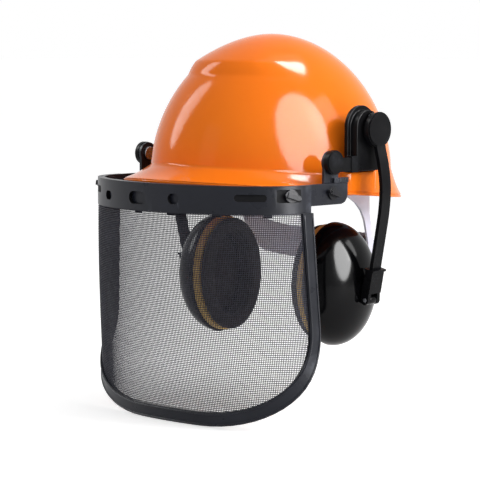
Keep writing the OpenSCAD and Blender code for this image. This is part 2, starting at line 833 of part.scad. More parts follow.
// Snap clips along the top rail's lower edge that hold the mesh
module frame_clips() {
  color([0.14, 0.15, 0.18])
    for (m = [0, 1]) {
      mirror([m, 0, 0])
        for (t = [28, 56, 80]) {
          on_rail(t, 0)
            span([-rail_t - 2.4, -4, rail_low - 2.4], [-rail_t - 0.6, 4, rail_low - 0.2]);
        }
    }
}

module visor_carrier() {
  difference() {
    union() {
      rod_x(knob_r - 0.5, lug_x0, lug_x1, visor_y, visor_z);
      span([lug_x0, visor_y - 9, rail_top + fit_gap], [lug_x1, visor_y + 9, visor_z]);
      span([lug_x0, visor_y - 9, tab_low + 2], [tab_x0 - fit_gap, visor_y + 9, rail_top + 2]);
      difference() {
        span([lug_x0, visor_y + 1, rail_top + fit_gap], [tab_x1 + 1.5, tab_end - 0.5, rail_top + 4.5]);
        for (i = [0:4]) {
          span([tab_x1 + 0.9, visor_y + 3 + i * 3.4, rail_top], [tab_x1 + 3, visor_y + 4.4 + i * 3.4, rail_top + 5]);
        }
      }
    }
    rod_x(visor_pin_r + bore_gap, lug_x0 - 1, lug_x1 + 1, visor_y, visor_z);
    rod_x(lock_r + bore_gap, lug_x0 - 1, lug_x1 + 1, visor_y, lock_z);
  }
}

module visor_carrier_left() {
  color([0.22, 0.23, 0.26])
    left() visor_carrier();
}

module visor_carrier_right() {
  color([0.22, 0.23, 0.26])
    right() visor_carrier();
}

// A twist lock: a stud with a wing, its face at x = 0
module twist_lock(depth) {
  rod_x(lock_r, -depth, 1.6, 0, 0);
  rod_x(lock_r + 2, move_gap, 1.6, 0, 0);
  rotate([-18, 0, 0]) {
    span([1.4, -wing_l / 2 + 2.5, -2.2], [5.6, wing_l / 2 - 2.5, 2.2]);
    rod_x(2.2, 1.4, 4.4, -wing_l / 2 + 2.5, 0);
    rod_x(2.2, 1.4, 4.4, wing_l / 2 - 2.5, 0);
  }
}

module lock_front() {
  on_rail(lock_t, 0)
    translate([0, 0, lock_z])
      twist_lock(rail_t + brow_t + 0.5);
}

module lock_rear() {
  translate([tab_x1, visor_y, lock_z])
    twist_lock(brow_t + 1.3);
}

module lock_front_left() {
  color([0.24, 0.24, 0.26])
    left() lock_front();
}

module lock_front_right() {
  color([0.24, 0.24, 0.26])
    right() lock_front();
}

module lock_rear_left() {
  color([0.24, 0.24, 0.26])
    left() lock_rear();
}

module lock_rear_right() {
  color([0.24, 0.24, 0.26])
    right() lock_rear();
}

// ---- ear muffs ------------------------------------------------------------------------------------

hub_r = 13;
hub_t = 2.7;
hub_x0 = face_x + move_gap;
hub_x1 = hub_x0 + hub_t;
head_x0 = hub_x1 + move_gap;
head_x1 = head_x0 + arm_head_t;
spread_x = hub_x0 + 2.5;
spread_z = pivot_z + 12;
spread_r = 1.2;
barrel_r = 2.3;
barrel_w = 8;

module ear_pivot_pin() {
  rod_x(pivot_pin_r, body_x - 0.9, hub_x1 - 0.2, pivot_y, pivot_z);
}

module ear_pivot_pin_left() {
  color([0.55, 0.55, 0.58])
    left() ear_pivot_pin();
}

module ear_pivot_pin_right() {
  color([0.55, 0.55, 0.58])
    right() ear_pivot_pin();
}

// The hub turns on the pivot pin and carries the hinge that lets the arm spread outward
module ear_hub() {
  difference() {
    union() {
      difference() {
        rod_x(hub_r, hub_x0, hub_x1, pivot_y, pivot_z);
        span([hub_x0 - 1, pivot_y - 20, spread_z - 5], [hub_x1 + 1, pivot_y + 20, spread_z + 10]);
      }
      span([hub_x0, pivot_y - barrel_w / 2, spread_z - 6], [hub_x1, pivot_y + barrel_w / 2, spread_z]);
      rod_y(barrel_r, pivot_y - barrel_w / 2, pivot_y + barrel_w / 2, spread_x, spread_z);
    }
    rod_x(pivot_pin_r + bore_gap, hub_x0 - 1, hub_x1 + 1, pivot_y, pivot_z);
    rod_y(spread_r + bore_gap, pivot_y - 10, pivot_y + 10, spread_x, spread_z);
  }
}

module ear_hub_left() {
  color([0.13, 0.13, 0.14])
    left() ear_hub();
}

module ear_hub_right() {
  color([0.13, 0.13, 0.14])
    right() ear_hub();
}

module spread_pin() {
  rod_y(spread_r, pivot_y - barrel_w / 2 - 4, pivot_y + barrel_w / 2 + 4, spread_x, spread_z);
}

module spread_pin_left() {
  color([0.6, 0.6, 0.63])
    left() spread_pin();
}

module spread_pin_right() {
  color([0.6, 0.6, 0.63])
    right() spread_pin();
}

// The arm's centre line: out of the round head, over the bow and straight down to the cup holder
arm_y = pivot_y + 0.5;
run_top = [arm_bow_x - 4.4, -25];
run_slope = 13;
run_dir = [-sin(run_slope), -cos(run_slope)];
run_len = 55;
arm_knots = [[head_x0 + arm_head_t / 2, 50], [head_x1 - 1.6, 42], [arm_bow_x - 1.9, 28], [arm_bow_x - 0.2, 14],
  [arm_bow_x - 0.2, 2], [arm_bow_x - 1.7, -11], run_top, run_top + run_dir * run_len / 2,
  run_top + run_dir * run_len];
// A smooth curve through the knots
function knot(i) = arm_knots[max(0, min(len(arm_knots) - 1, i))];
function curve(i, t) = let (p0 = knot(i - 1), p1 = knot(i), p2 = knot(i + 1), p3 = knot(i + 2))
  0.5 * ((2 * p1) + (p2 - p0) * t + (2 * p0 - 5 * p1 + 4 * p2 - p3) * t * t
    + (3 * p1 - p0 - 3 * p2 + p3) * t * t * t);
arm_line = concat([for (i = [0:5]) for (t = [0:0.2:0.9]) curve(i, t)], [run_top, run_top + run_dir * run_len]);
function along(i) = let (a = arm_line[max(0, i - 1)], b = arm_line[min(len(arm_line) - 1, i + 1)], d = b - a)
  d / norm(d);
function beside(i, off) = let (d = along(i)) arm_line[i] + [-d[1], d[0]] * off;

// Leans a child back about the pivot, as the arm hangs
module leaned() {
  translate([0, pivot_y, pivot_z])
    rotate([arm_lean, 0, 0])
      translate([0, -pivot_y, -pivot_z])
        children();
}

module arm_strip() {
  n = len(arm_line) - 1;
  leaned()
    translate([0, arm_y + arm_w / 2, 0])
      rotate([90, 0, 0])
        linear_extrude(height = arm_w)
        polygon(concat([for (i = [0:n]) beside(i, arm_t / 2)], [for (i = [n:-1:0]) beside(i, -arm_t / 2)]));
}

module ear_arm() {
  difference() {
    union() {
      difference() {
        union() {
          rod_x(arm_head_r, head_x0, head_x1 - 1, pivot_y, pivot_z);
          rod_x(arm_head_r - 1.2, head_x0, head_x1, pivot_y, pivot_z);
          arm_strip();
        }
        // room for the hub's barrel
        span([head_x0 - 1, pivot_y - barrel_w / 2 - move_gap, spread_z - 8],
          [spread_x + barrel_r + 1, pivot_y + barrel_w / 2 + move_gap, spread_z + 6]);
      }
      for (s = [-1, 1]) {
        rod_y(barrel_r, s > 0 ? pivot_y + barrel_w / 2 + move_gap : pivot_y - barrel_w / 2 - move_gap - 3.7,
          s > 0 ? pivot_y + barrel_w / 2 + move_gap + 3.7 : pivot_y - barrel_w / 2 - move_gap,
          spread_x, spread_z);
      }
    }
    rod_y(spread_r + bore_gap, pivot_y - 10, pivot_y + 10, spread_x, spread_z);
  }
}

module ear_arm_left() {
  color([0.09, 0.09, 0.1])
    left() ear_arm();
}

module ear_arm_right() {
  color([0.09, 0.09, 0.1])
    right() ear_arm();
}

// The holder slides on the arm's straight run; its own axes follow the run
holder_at = 41;
holder_len = 22;
holder_wall = 2.2;
run_tilt = run_slope;
cup_face = cushion_x + cushion_t + seal_t + 0.3;
cup_pole = cup_face + cup_depth;
swivel_x = cup_pole + 5;
swivel_z = cup_z - 11.5;
swivel_y = arm_y + (pivot_z - swivel_z) * tan(arm_lean);
ear_w = 3.6;
// The holder's lower end and its inner face there
holder_foot = run_top[1] - (holder_at + holder_len) * cos(run_slope);
holder_in = run_top[0] - (holder_at + holder_len) * sin(run_slope) - arm_t / 2 - holder_wall;
lug_w = 8;

module on_run(s) {
  leaned()
    translate([run_top[0] + run_dir[0] * s, arm_y, run_top[1] + run_dir[1] * s])
      rotate([0, run_tilt, 0])
        children();
}

module cup_holder() {
  ht = arm_t / 2 + 0.1;
  hw = arm_w / 2 + 0.1;
  difference() {
    union() {
      on_run(holder_at)
        span([-ht - holder_wall, -hw - holder_wall, -holder_len], [ht + holder_wall, hw + holder_wall, 0]);
      on_run(holder_at)
        span([-ht - holder_wall - 0.8, -hw - holder_wall - 0.8, -1.8],
          [ht + holder_wall + 1.4, hw + holder_wall + 0.8, 0]);
      for (s = [-1, 1]) {
        y0 = swivel_y + s * (lug_w / 2 + move_gap) - (s < 0 ? ear_w : 0);
        hull() {
          rod_y(cup_pin_r + 2.2, y0, y0 + ear_w, swivel_x, swivel_z);
          span([holder_in - 0.5, y0, holder_foot], [holder_in + 7, y0 + ear_w, holder_foot + 7]);
        }
      }
    }
    on_run(holder_at)
      span([-ht, -hw, -run_len], [ht, hw, 5]);
    rod_y(cup_pin_r + bore_gap, swivel_y - 12, swivel_y + 12, swivel_x, swivel_z);
  }
}

module cup_holder_left() {
  color([0.1, 0.1, 0.11])
    left() cup_holder();
}

module cup_holder_right() {
  color([0.1, 0.1, 0.11])
    right() cup_holder();
}

module cup_pin() {
  rod_y(cup_pin_r, swivel_y - lug_w / 2 - ear_w - move_gap, swivel_y + lug_w / 2 + ear_w + move_gap,
    swivel_x, swivel_z);
}

module cup_pin_left() {
  color([0.6, 0.6, 0.63])
    left() cup_pin();
}

module cup_pin_right() {
  color([0.6, 0.6, 0.63])
    right() cup_pin();
}

cup_segments = 40;
cup_power = 2.15;
// A ring of the cup's shell: q runs from 0 at its open edge to 90 at its pole
function cup_ring(q, w) = let (k = pow(cos(q), 2 / cup_power),
    x = cup_face + (cup_depth - w) * pow(sin(q), 2 / cup_power))
  [for (i = [0:cup_segments - 1]) let (t = 360 * i / cup_segments)
    [x, cup_y + (cup_half_w - w) * k * cos(t), cup_z + (cup_half_h - w) * k * sin(t)]];

module cup_shell() {
  qs = [0, 10, 20, 32, 44, 56, 68, 80];
  outer = [for (q = qs) cup_ring(q, 0)];
  inner = [for (i = [len(qs) - 1:-1:0]) cup_ring(qs[i], cup_wall)];
  difference() {
    union() {
      sock([cup_face + cup_depth - cup_wall, cup_y, cup_z], concat(inner, outer),
        [cup_pole, cup_y, cup_z]);
      span([cup_pole - 2, swivel_y - lug_w / 2, swivel_z - cup_pin_r - 2],
        [swivel_x, swivel_y + lug_w / 2, swivel_z + cup_pin_r + 2]);
      rod_y(cup_pin_r + 2, swivel_y - lug_w / 2, swivel_y + lug_w / 2, swivel_x, swivel_z);
    }
    rod_y(cup_pin_r + bore_gap, swivel_y - 12, swivel_y + 12, swivel_x, swivel_z);
  }
}

module cup_shell_left() {
  color([0.05, 0.05, 0.06])
    left() cup_shell();
}

module cup_shell_right() {
  color([0.05, 0.05, 0.06])
    right() cup_shell();
}

// An oval ring about the cup's axis
module cup_oval(x0, x1, out, inn) {
  translate([x0, cup_y, cup_z])
    rotate([90, 0, 90])
      linear_extrude(height = x1 - x0)
        difference() {
          polygon(oval(cup_half_w - out, cup_half_h - out, 48));
          polygon(oval(cup_half_w - inn, cup_half_h - inn, 48));
        }
}

module cup_seal() {
  cup_oval(cushion_x + cushion_t + fit_gap, cup_face - fit_gap, seal_inset, seal_ring);
}

module cup_seal_left() {
  color([0.66, 0.54, 0.3])
    left() cup_seal();
}

module cup_seal_right() {
  color([0.66, 0.54, 0.3])
    right() cup_seal();
}

// The cushion has a skirt that lines the seal's inside as far as the cup
module cup_cushion() {
  cup_oval(cushion_x, cushion_x + 2.5 + eps, cushion_inset + 2.4, cushion_ring - 2);
  cup_oval(cushion_x + 2.5, cushion_x + cushion_t, cushion_inset, cushion_ring);
  cup_oval(cushion_x + cushion_t - eps, cup_face - fit_gap, seal_ring + 2 * fit_gap, cushion_ring);
}

module cup_cushion_left() {
  color([0.12, 0.1, 0.09])
    left() cup_cushion();
}

module cup_cushion_right() {
  color([0.12, 0.1, 0.09])
    right() cup_cushion();
}

foam_in = 24;

module cup_foam() {
  translate([cup_face + 1, cup_y, cup_z])
    rotate([90, 0, 90])
      linear_extrude(height = foam_in - 1)
        polygon(oval(cup_half_w - 16, cup_half_h - 18, 48));
}

module cup_foam_left() {
  color([0.16, 0.16, 0.17])
    left() cup_foam();
}

module cup_foam_right() {
  color([0.16, 0.16, 0.17])
    right() cup_foam();
}

shell();
headband();
sweatband();
strap_keys();
crown_strap_left();
crown_strap_right();
crown_pad();
nape_strap_left();
nape_strap_right();
strap_studs();
nape_pad();
ratchet_case();
ratchet_knob();
ratchet_pinion();
side_bracket_left();
side_bracket_right();
visor_arm_left();
visor_arm_right();
visor_pin_left();
visor_pin_right();
visor_carrier_left();
visor_carrier_right();
brow_band();
visor_frame();
visor_mesh();
frame_clips();
lock_front_left();
lock_front_right();
lock_rear_left();
lock_rear_right();
ear_pivot_pin_left();
ear_pivot_pin_right();
ear_hub_left();
ear_hub_right();
spread_pin_left();
spread_pin_right();
ear_arm_left();
ear_arm_right();
cup_holder_left();
cup_holder_right();
cup_pin_left();
cup_pin_right();
cup_shell_left();
cup_shell_right();
cup_seal_left();
cup_seal_right();
cup_cushion_left();
cup_cushion_right();
cup_foam_left();
cup_foam_right();
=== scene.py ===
"""Looks of the forestry safety helmet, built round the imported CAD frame. Metres; +X is the wearer's left,
-Y the front and +Z up."""

import math

import bmesh
import bpy
from mathutils import Matrix, Vector


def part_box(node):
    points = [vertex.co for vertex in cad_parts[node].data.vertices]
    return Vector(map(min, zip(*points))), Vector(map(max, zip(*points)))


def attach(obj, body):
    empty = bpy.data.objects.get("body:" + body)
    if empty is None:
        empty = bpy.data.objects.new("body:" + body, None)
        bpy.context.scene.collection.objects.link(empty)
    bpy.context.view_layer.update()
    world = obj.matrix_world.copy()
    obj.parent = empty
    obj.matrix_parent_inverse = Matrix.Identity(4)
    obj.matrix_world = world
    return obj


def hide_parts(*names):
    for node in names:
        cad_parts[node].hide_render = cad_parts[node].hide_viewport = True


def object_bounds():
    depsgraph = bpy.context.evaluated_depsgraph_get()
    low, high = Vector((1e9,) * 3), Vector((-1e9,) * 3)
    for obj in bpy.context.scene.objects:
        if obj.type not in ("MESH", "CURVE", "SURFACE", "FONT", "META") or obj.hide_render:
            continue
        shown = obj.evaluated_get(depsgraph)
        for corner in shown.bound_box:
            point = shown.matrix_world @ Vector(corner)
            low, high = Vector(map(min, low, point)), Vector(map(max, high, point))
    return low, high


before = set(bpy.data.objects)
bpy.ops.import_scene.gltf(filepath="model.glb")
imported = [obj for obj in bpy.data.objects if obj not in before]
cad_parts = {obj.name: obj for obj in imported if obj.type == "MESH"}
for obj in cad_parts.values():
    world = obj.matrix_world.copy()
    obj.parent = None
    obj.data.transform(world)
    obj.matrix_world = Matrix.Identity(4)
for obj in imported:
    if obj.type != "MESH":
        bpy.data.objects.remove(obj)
cad_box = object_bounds()

MM = 0.001
SIDES = (("left", 1), ("right", -1))


# ---- meshes -----------------------------------------------------------------------------------------

def finish_piece(obj, body, material, slot, *nodes):
    """Material, body and the CAD nodes that a piece stands for; slot is not used."""
    obj.data.materials.clear()
    obj.data.materials.append(material)
    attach(obj, body)
    if nodes:
        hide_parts(*nodes)
    return obj


def new_object(name, verts, faces, smooth=True):
    mesh = bpy.data.meshes.new(name)
    mesh.from_pydata(verts, [], faces)
    mesh.validate()
    mesh.update()
    if smooth:
        mesh.shade_smooth()
    obj = bpy.data.objects.new(name, mesh)
    bpy.context.scene.collection.objects.link(obj)
    return obj


def apply_modifiers(obj):
    depsgraph = bpy.context.evaluated_depsgraph_get()
    mesh = bpy.data.meshes.new_from_object(obj.evaluated_get(depsgraph))
    obj.modifiers.clear()
    obj.data = mesh


def add_bevel(obj, width, segments, sharp):
    bevel = obj.modifiers.new("round", "BEVEL")
    bevel.width, bevel.segments = width, segments
    bevel.limit_method, bevel.angle_limit = "ANGLE", math.radians(sharp)
    return bevel


def outward(obj):
    """Turns the faces of a closed mesh outward."""
    bm = bmesh.new()
    bm.from_mesh(obj.data)
    bmesh.ops.recalc_face_normals(bm, faces=bm.faces)
    bm.to_mesh(obj.data)
    bm.free()


def loop_faces(rings, count, closed_ends=True, wrap=False):
    """Quads between rings of count points; the ends are capped unless the rings wrap round."""
    faces = []
    for i in range(rings if wrap else rings - 1):
        p, q = i * count, ((i + 1) % rings) * count
        for j in range(count):
            k = (j + 1) % count
            faces.append((p + j, p + k, q + k, q + j))
    if closed_ends and not wrap:
        faces.append(tuple(range(count - 1, -1, -1)))
        last = (rings - 1) * count
        faces.append(tuple(last + j for j in range(count)))
    return faces


def ring_piece(name, rings, wrap=False):
    count = len(rings[0])
    verts = [p for ring in rings for p in ring]
    obj = new_object(name, verts, loop_faces(len(rings), count, True, wrap))
    outward(obj)
    return obj


def mirror_object(obj, name):
    """A copy on the other side of the helmet."""
    copy = bpy.data.objects.new(name, obj.data.copy())
    bpy.context.scene.collection.objects.link(copy)
    bm = bmesh.new()
    bm.from_mesh(copy.data)
    bmesh.ops.scale(bm, vec=(-1, 1, 1), verts=bm.verts)
    bmesh.ops.reverse_faces(bm, faces=bm.faces)
    bm.to_mesh(copy.data)
    bm.free()
    return copy


WELD = 0.004 * MM


def rounded_copy(node, width, segments=3, sharp=28):
    """A copy of a CAD node's shape, with edges sharper than an angle in degrees rounded."""
    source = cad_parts[node]
    obj = bpy.data.objects.new("look_" + node, source.data.copy())
    bpy.context.scene.collection.objects.link(obj)
    bm = bmesh.new()
    bm.from_mesh(obj.data)
    bmesh.ops.remove_doubles(bm, verts=bm.verts, dist=WELD)
    bmesh.ops.dissolve_degenerate(bm, edges=bm.edges, dist=WELD)
    bmesh.ops.dissolve_limit(bm, angle_limit=math.radians(1), verts=bm.verts, edges=bm.edges)
    bmesh.ops.recalc_face_normals(bm, faces=bm.faces)
    bm.to_mesh(obj.data)
    bm.free()
    obj.data.shade_smooth()
    bevel = add_bevel(obj, width, segments, sharp)
    bevel.use_clamp_overlap = True
    bevel.harden_normals = False
    bevel.miter_outer = "MITER_ARC"
    apply_modifiers(obj)
    weighted = obj.modifiers.new("normals", "WEIGHTED_NORMAL")
    weighted.keep_sharp = True
    weighted.weight = 80
    apply_modifiers(obj)
    return obj


# ---- materials --------------------------------------------------------------------------------------

def linear(r, g, b):
    def one(c):
        c /= 255
        return c / 12.92 if c <= 0.04045 else ((c + 0.055) / 1.055) ** 2.4
    return (one(r), one(g), one(b), 1)


class Surface:
    """A Principled material and the nodes that feed it."""

    def __init__(self, name, color, rough, metallic=0.0, specular=0.5):
        self.mat = bpy.data.materials.new(name)
        self.mat.use_nodes = True
        self.tree = self.mat.node_tree
        self.shader = self.tree.nodes["Principled BSDF"]
        self.color = color
        self.shader.inputs["Base Color"].default_value = color
        self.shader.inputs["Roughness"].default_value = rough
        self.shader.inputs["Metallic"].default_value = metallic
        self.shader.inputs["Specular IOR Level"].default_value = specular
        self.rough = rough
        self.coords = self.tree.nodes.new("ShaderNodeTexCoord").outputs["Object"]
        self.normal = None

    def node(self, kind, **values):
        node = self.tree.nodes.new(kind)
        for key, value in values.items():
            if key in node.inputs:
                node.inputs[key].default_value = value
            else:
                setattr(node, key, value)
        return node

    def link(self, a, b):
        self.tree.links.new(a, b)

    def scaled(self, scale, coords=None):
        mapping = self.node("ShaderNodeMapping")
        mapping.inputs["Scale"].default_value = scale
        self.link(coords or self.coords, mapping.inputs["Vector"])
        return mapping.outputs["Vector"]

    def noise(self, scale, detail=3.0, stretch=(1, 1, 1), distortion=0.0):
        node = self.node("ShaderNodeTexNoise", Scale=scale, Detail=detail, Distortion=distortion)
        self.link(self.scaled(stretch), node.inputs["Vector"])
        return node.outputs["Fac"]

    def cells(self, scale):
        node = self.node("ShaderNodeTexVoronoi", Scale=scale, feature="F1")
        self.link(self.scaled((1, 1, 1)), node.inputs["Vector"])
        return node.outputs["Distance"]

    def span(self, value, low, high, to_low, to_high):
        node = self.node("ShaderNodeMapRange", clamp=True)
        for key, v in (("From Min", low), ("From Max", high), ("To Min", to_low), ("To Max", to_high)):
            node.inputs[key].default_value = v
        self.link(value, node.inputs["Value"])
        return node.outputs["Result"]

    def math(self, op, a, b):
        node = self.node("ShaderNodeMath", operation=op)
        for i, v in enumerate((a, b)):
            if isinstance(v, (int, float)):
                node.inputs[i].default_value = v
            else:
                self.link(v, node.inputs[i])
        return node.outputs["Value"]

    def mix(self, factor, color):
        """Blends the colour so far towards another by a factor."""
        node = self.node("ShaderNodeMix", data_type="RGBA")
        self.link(factor, node.inputs["Factor"])
        a, b = node.inputs[6], node.inputs[7]
        if isinstance(self.color, tuple):
            a.default_value = self.color
        else:
            self.link(self.color, a)
        b.default_value = color
        self.color = node.outputs[2]
        self.link(self.color, self.shader.inputs["Base Color"])

    def vary_rough(self, value, low, high, spread):
        out = self.span(value, low, high, self.rough - spread, self.rough + spread)
        self.link(out, self.shader.inputs["Roughness"])

    def bump(self, height, distance, strength=1.0):
        node = self.node("ShaderNodeBump", Strength=strength, Distance=distance)
        self.link(height, node.inputs["Height"])
        if self.normal is not None:
            self.link(self.normal, node.inputs["Normal"])
        self.normal = node.outputs["Normal"]
        self.link(self.normal, self.shader.inputs["Normal"])

    def wear_and_highlight_edges(self, color):
        """Edges lighter, broken up by noise: rubbed wear, and on the locks a painted highlight as well."""
        geometry = self.node("ShaderNodeNewGeometry")
        edge = self.span(geometry.outputs["Pointiness"], 0.56, 0.7, 0.0, 0.6)
        patch = self.span(self.noise(180, 4), 0.4, 0.65, 0.25, 1.0)
        self.mix(self.math("MULTIPLY", edge, patch), color)


def moulded(name, color, rough, light, dark, grain=1.0, specular=0.5, edge_wear_and_highlight=None):
    """Moulded plastic: mottled colour, uneven gloss, a fine grain and lighter edges, which are rubbed wear and on the
    locks also a painted highlight.
    """
    s = Surface(name, color, rough, specular=specular)
    s.mix(s.span(s.noise(14, 4), 0.35, 0.7, 0.0, 0.55), light)
    s.mix(s.span(s.noise(55, 5, distortion=0.4), 0.52, 0.8, 0.0, 0.5), dark)
    if edge_wear_and_highlight:
        s.wear_and_highlight_edges(edge_wear_and_highlight)
    s.vary_rough(s.noise(38, 5), 0.3, 0.7, 0.07)
    s.bump(s.noise(1500, 2), 0.03 * MM, 0.35 * grain)
    s.bump(s.noise(60, 2), 0.08 * MM, 0.25)
    return s


def make_materials():
    m = {}
    s = Surface("orange_shell", linear(252, 122, 24), 0.13, specular=0.08)
    s.mix(s.span(s.noise(7, 3), 0.3, 0.75, 0.0, 0.6), linear(255, 130, 28))
    s.mix(s.span(s.noise(30, 6, distortion=0.6), 0.55, 0.85, 0.0, 0.3), linear(242, 108, 16))
    scuffs = s.span(s.noise(90, 8, (1, 1, 0.18), 1.5), 0.6, 0.72, 0.0, 1.0)
    s.link(s.span(scuffs, 0, 1, 0.12, 0.2), s.shader.inputs["Roughness"])
    s.bump(s.noise(130, 1), 0.05 * MM, 0.14)
    s.bump(scuffs, 0.01 * MM, 0.25)
    m["shell"] = s.mat

    m["black"] = moulded("black_plastic", linear(12, 12, 14), 0.3, linear(17, 17, 20), linear(8, 8, 10),
                         specular=0.06, edge_wear_and_highlight=linear(46, 47, 52)).mat
    m["band"] = moulded("band_plastic", linear(25, 27, 35), 0.32, linear(36, 38, 48), linear(16, 18, 24),
                        specular=0.17, edge_wear_and_highlight=linear(104, 108, 120)).mat
    # painted shade: the recesses' dark colour stands in for the shade in them; the high roughness is their coarse
    # moulded finish
    m["recess"] = moulded("recess_shade_plastic", linear(11, 11, 14), 0.7, linear(16, 16, 20), linear(7, 7, 9),
                          specular=0.05).mat
    # painted highlight: the lock levers' light edge colour stands in for their highlights as well as wear
    m["lock"] = moulded("lock_plastic", linear(26, 26, 30), 0.3, linear(38, 38, 43), linear(17, 17, 20),
                        specular=0.18, edge_wear_and_highlight=linear(124, 126, 134)).mat
    m["knob"] = moulded("knob_plastic", linear(30, 30, 34), 0.45, linear(40, 40, 45), linear(20, 20, 23),
                        grain=1.6, specular=0.14, edge_wear_and_highlight=linear(84, 84, 90)).mat

    s = moulded("harness_plastic", linear(214, 213, 230), 0.42, linear(226, 225, 239), linear(196, 195, 216),
                grain=0.8, edge_wear_and_highlight=linear(236, 236, 244))
    s.shader.inputs["Subsurface Weight"].default_value = 0.12
    s.shader.inputs["Subsurface Radius"].default_value = (0.004, 0.004, 0.005)
    m["harness"] = s.mat

    s = Surface("cup_gloss", linear(6, 6, 8), 0.16, specular=0.11)
    s.mix(s.span(s.noise(22, 4), 0.4, 0.75, 0.0, 0.6), linear(10, 10, 13))
    s.vary_rough(s.noise(45, 6), 0.35, 0.75, 0.04)
    s.bump(s.noise(110, 1), 0.04 * MM, 0.12)
    m["cup"] = s.mat

    s = Surface("tan_seal", linear(240, 196, 108), 0.6, specular=0.2)
    s.mix(s.span(s.noise(70, 5), 0.35, 0.7, 0.0, 0.7), linear(250, 216, 138))
    s.mix(s.span(s.noise(260, 4), 0.5, 0.8, 0.0, 0.5), linear(204, 154, 72))
    s.vary_rough(s.noise(120, 3), 0.3, 0.7, 0.1)
    s.bump(s.cells(900), 0.12 * MM, 0.5)
    m["seal"] = s.mat

    s = Surface("cushion_skin", linear(24, 17, 15), 0.55, specular=0.08)
    s.mix(s.span(s.noise(60, 5), 0.35, 0.75, 0.0, 0.7), linear(34, 25, 22))
    s.mix(s.span(s.cells(620), 0.0, 0.45, 0.45, 0.0), linear(14, 10, 9))
    s.vary_rough(s.noise(90, 4), 0.3, 0.7, 0.1)
    s.bump(s.cells(620), 0.14 * MM, 0.6)
    s.bump(s.noise(150, 4), 0.25 * MM, 0.5)
    m["cushion"] = s.mat

    s = Surface("open_foam", linear(36, 27, 25), 0.92, specular=0.08)
    s.mix(s.span(s.cells(900), 0.0, 0.5, 0.8, 0.0), linear(14, 12, 12))
    s.mix(s.span(s.noise(40, 4), 0.4, 0.7, 0.0, 0.5), linear(46, 40, 38))
    s.vary_rough(s.noise(200, 3), 0.3, 0.7, 0.05)
    s.bump(s.cells(900), 0.5 * MM, 0.9)
    m["foam"] = s.mat

    s = Surface("pad_knit", linear(48, 48, 53), 0.85, specular=0.2)
    s.mix(s.span(s.noise(500, 2), 0.4, 0.65, 0.0, 0.8), linear(70, 70, 76))
    s.mix(s.span(s.cells(700), 0.0, 0.5, 0.7, 0.0), linear(26, 26, 30))
    s.vary_rough(s.noise(90, 3), 0.3, 0.7, 0.06)
    s.shader.inputs["Sheen Weight"].default_value = 0.35
    s.bump(s.cells(700), 0.3 * MM, 0.8)
    m["pad"] = s.mat

    s = Surface("webbing", linear(60, 60, 68), 0.8, specular=0.2)
    uv = s.node("ShaderNodeUVMap", uv_map="along")
    cross = s.node("ShaderNodeTexWave", Scale=1.0, bands_direction="DIAGONAL", wave_profile="SIN")
    cross.inputs["Distortion"].default_value = 0.6
    s.link(s.scaled((900, 900, 1), uv.outputs["UV"]), cross.inputs["Vector"])
    ribs = s.node("ShaderNodeTexWave", Scale=1.0, bands_direction="Y", wave_profile="SIN")
    s.link(s.scaled((1, 1300, 1), uv.outputs["UV"]), ribs.inputs["Vector"])
    weave = s.math("MULTIPLY", cross.outputs["Fac"], ribs.outputs["Fac"])
    s.mix(s.span(weave, 0.1, 0.8, 0.0, 0.8), linear(92, 92, 102))
    s.mix(s.span(s.noise(120, 4), 0.5, 0.8, 0.0, 0.5), linear(38, 38, 44))
    s.vary_rough(weave, 0.1, 0.9, 0.08)
    s.shader.inputs["Sheen Weight"].default_value = 0.3
    s.bump(weave, 0.3 * MM, 0.8)
    m["webbing"] = s.mat

    s = Surface("turned_steel", linear(176, 178, 184), 0.3, metallic=1.0)
    s.mix(s.span(s.noise(300, 4), 0.4, 0.7, 0.0, 0.5), linear(140, 142, 150))
    s.vary_rough(s.noise(700, 3), 0.3, 0.7, 0.1)
    s.bump(s.noise(2200, 2), 0.02 * MM, 0.4)
    m["steel"] = s.mat

    s = Surface("net_wire", linear(46, 46, 54), 0.5, metallic=0.1, specular=0.12)
    s.mix(s.span(s.noise(400, 3), 0.35, 0.7, 0.0, 0.7), linear(64, 65, 76))
    s.mix(s.span(s.noise(35, 3), 0.4, 0.75, 0.0, 0.5), linear(34, 34, 41))
    s.vary_rough(s.noise(250, 2), 0.3, 0.7, 0.1)
    s.bump(s.noise(2600, 2), 0.02 * MM, 0.3)
    m["wire"] = s.mat
    return m


MATERIAL = make_materials()


# ---- shell ------------------------------------------------------------------------------------------

# Sizes of the moulded shell, in metres, as the CAD shell has them
DOME_HALF_W, DOME_HALF_L, DOME_Y = 0.103, 0.1165, 0.0025
DOME_FOOT, DOME_POWER, PEAK_POWER = 0.0155, 1.93, 2.15
CROWN_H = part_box("shell")[1].z
CREASE_H, CREASE_LIFT = 0.019, 0.008
WALL, LIP = 0.0026, 0.0026
BRIM_HALF_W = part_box("shell")[1].x
PEAK_REACH, BRIM_REAR = -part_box("shell")[0].y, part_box("shell")[1].y
RIM_TILT = math.radians(5)
STEP_LOW, STEP_HIGH, STEP_SWELL = 0.685, 0.79, 0.1


def signed_power(v, p):
    return math.copysign(abs(v) ** p, v)


def crease_z(a):
    return CREASE_H + CREASE_LIFT * max(0.0, -math.sin(a)) ** 1.5


def narrowing(z, top):
    share = max(0.0, (z - DOME_FOOT) / (top - DOME_FOOT))
    return max(0.0, 1 - share ** DOME_POWER) ** (1 / DOME_POWER)


def front_share(a):
    off = abs((math.degrees(a) + 90 + 180) % 360 - 180)
    if off < 32:
        return 1.0
    return 0.0 if off > 66 else math.cos(math.radians((off - 32) / 34 * 90)) ** 2


def swell(a, g):
    if g <= STEP_LOW:
        return 0.0
    if g < STEP_HIGH:
        t = (g - STEP_LOW) / (STEP_HIGH - STEP_LOW)
        return STEP_SWELL * front_share(a) * t
    return STEP_SWELL * front_share(a) * ((1 - g) / (1 - STEP_HIGH)) ** 0.8


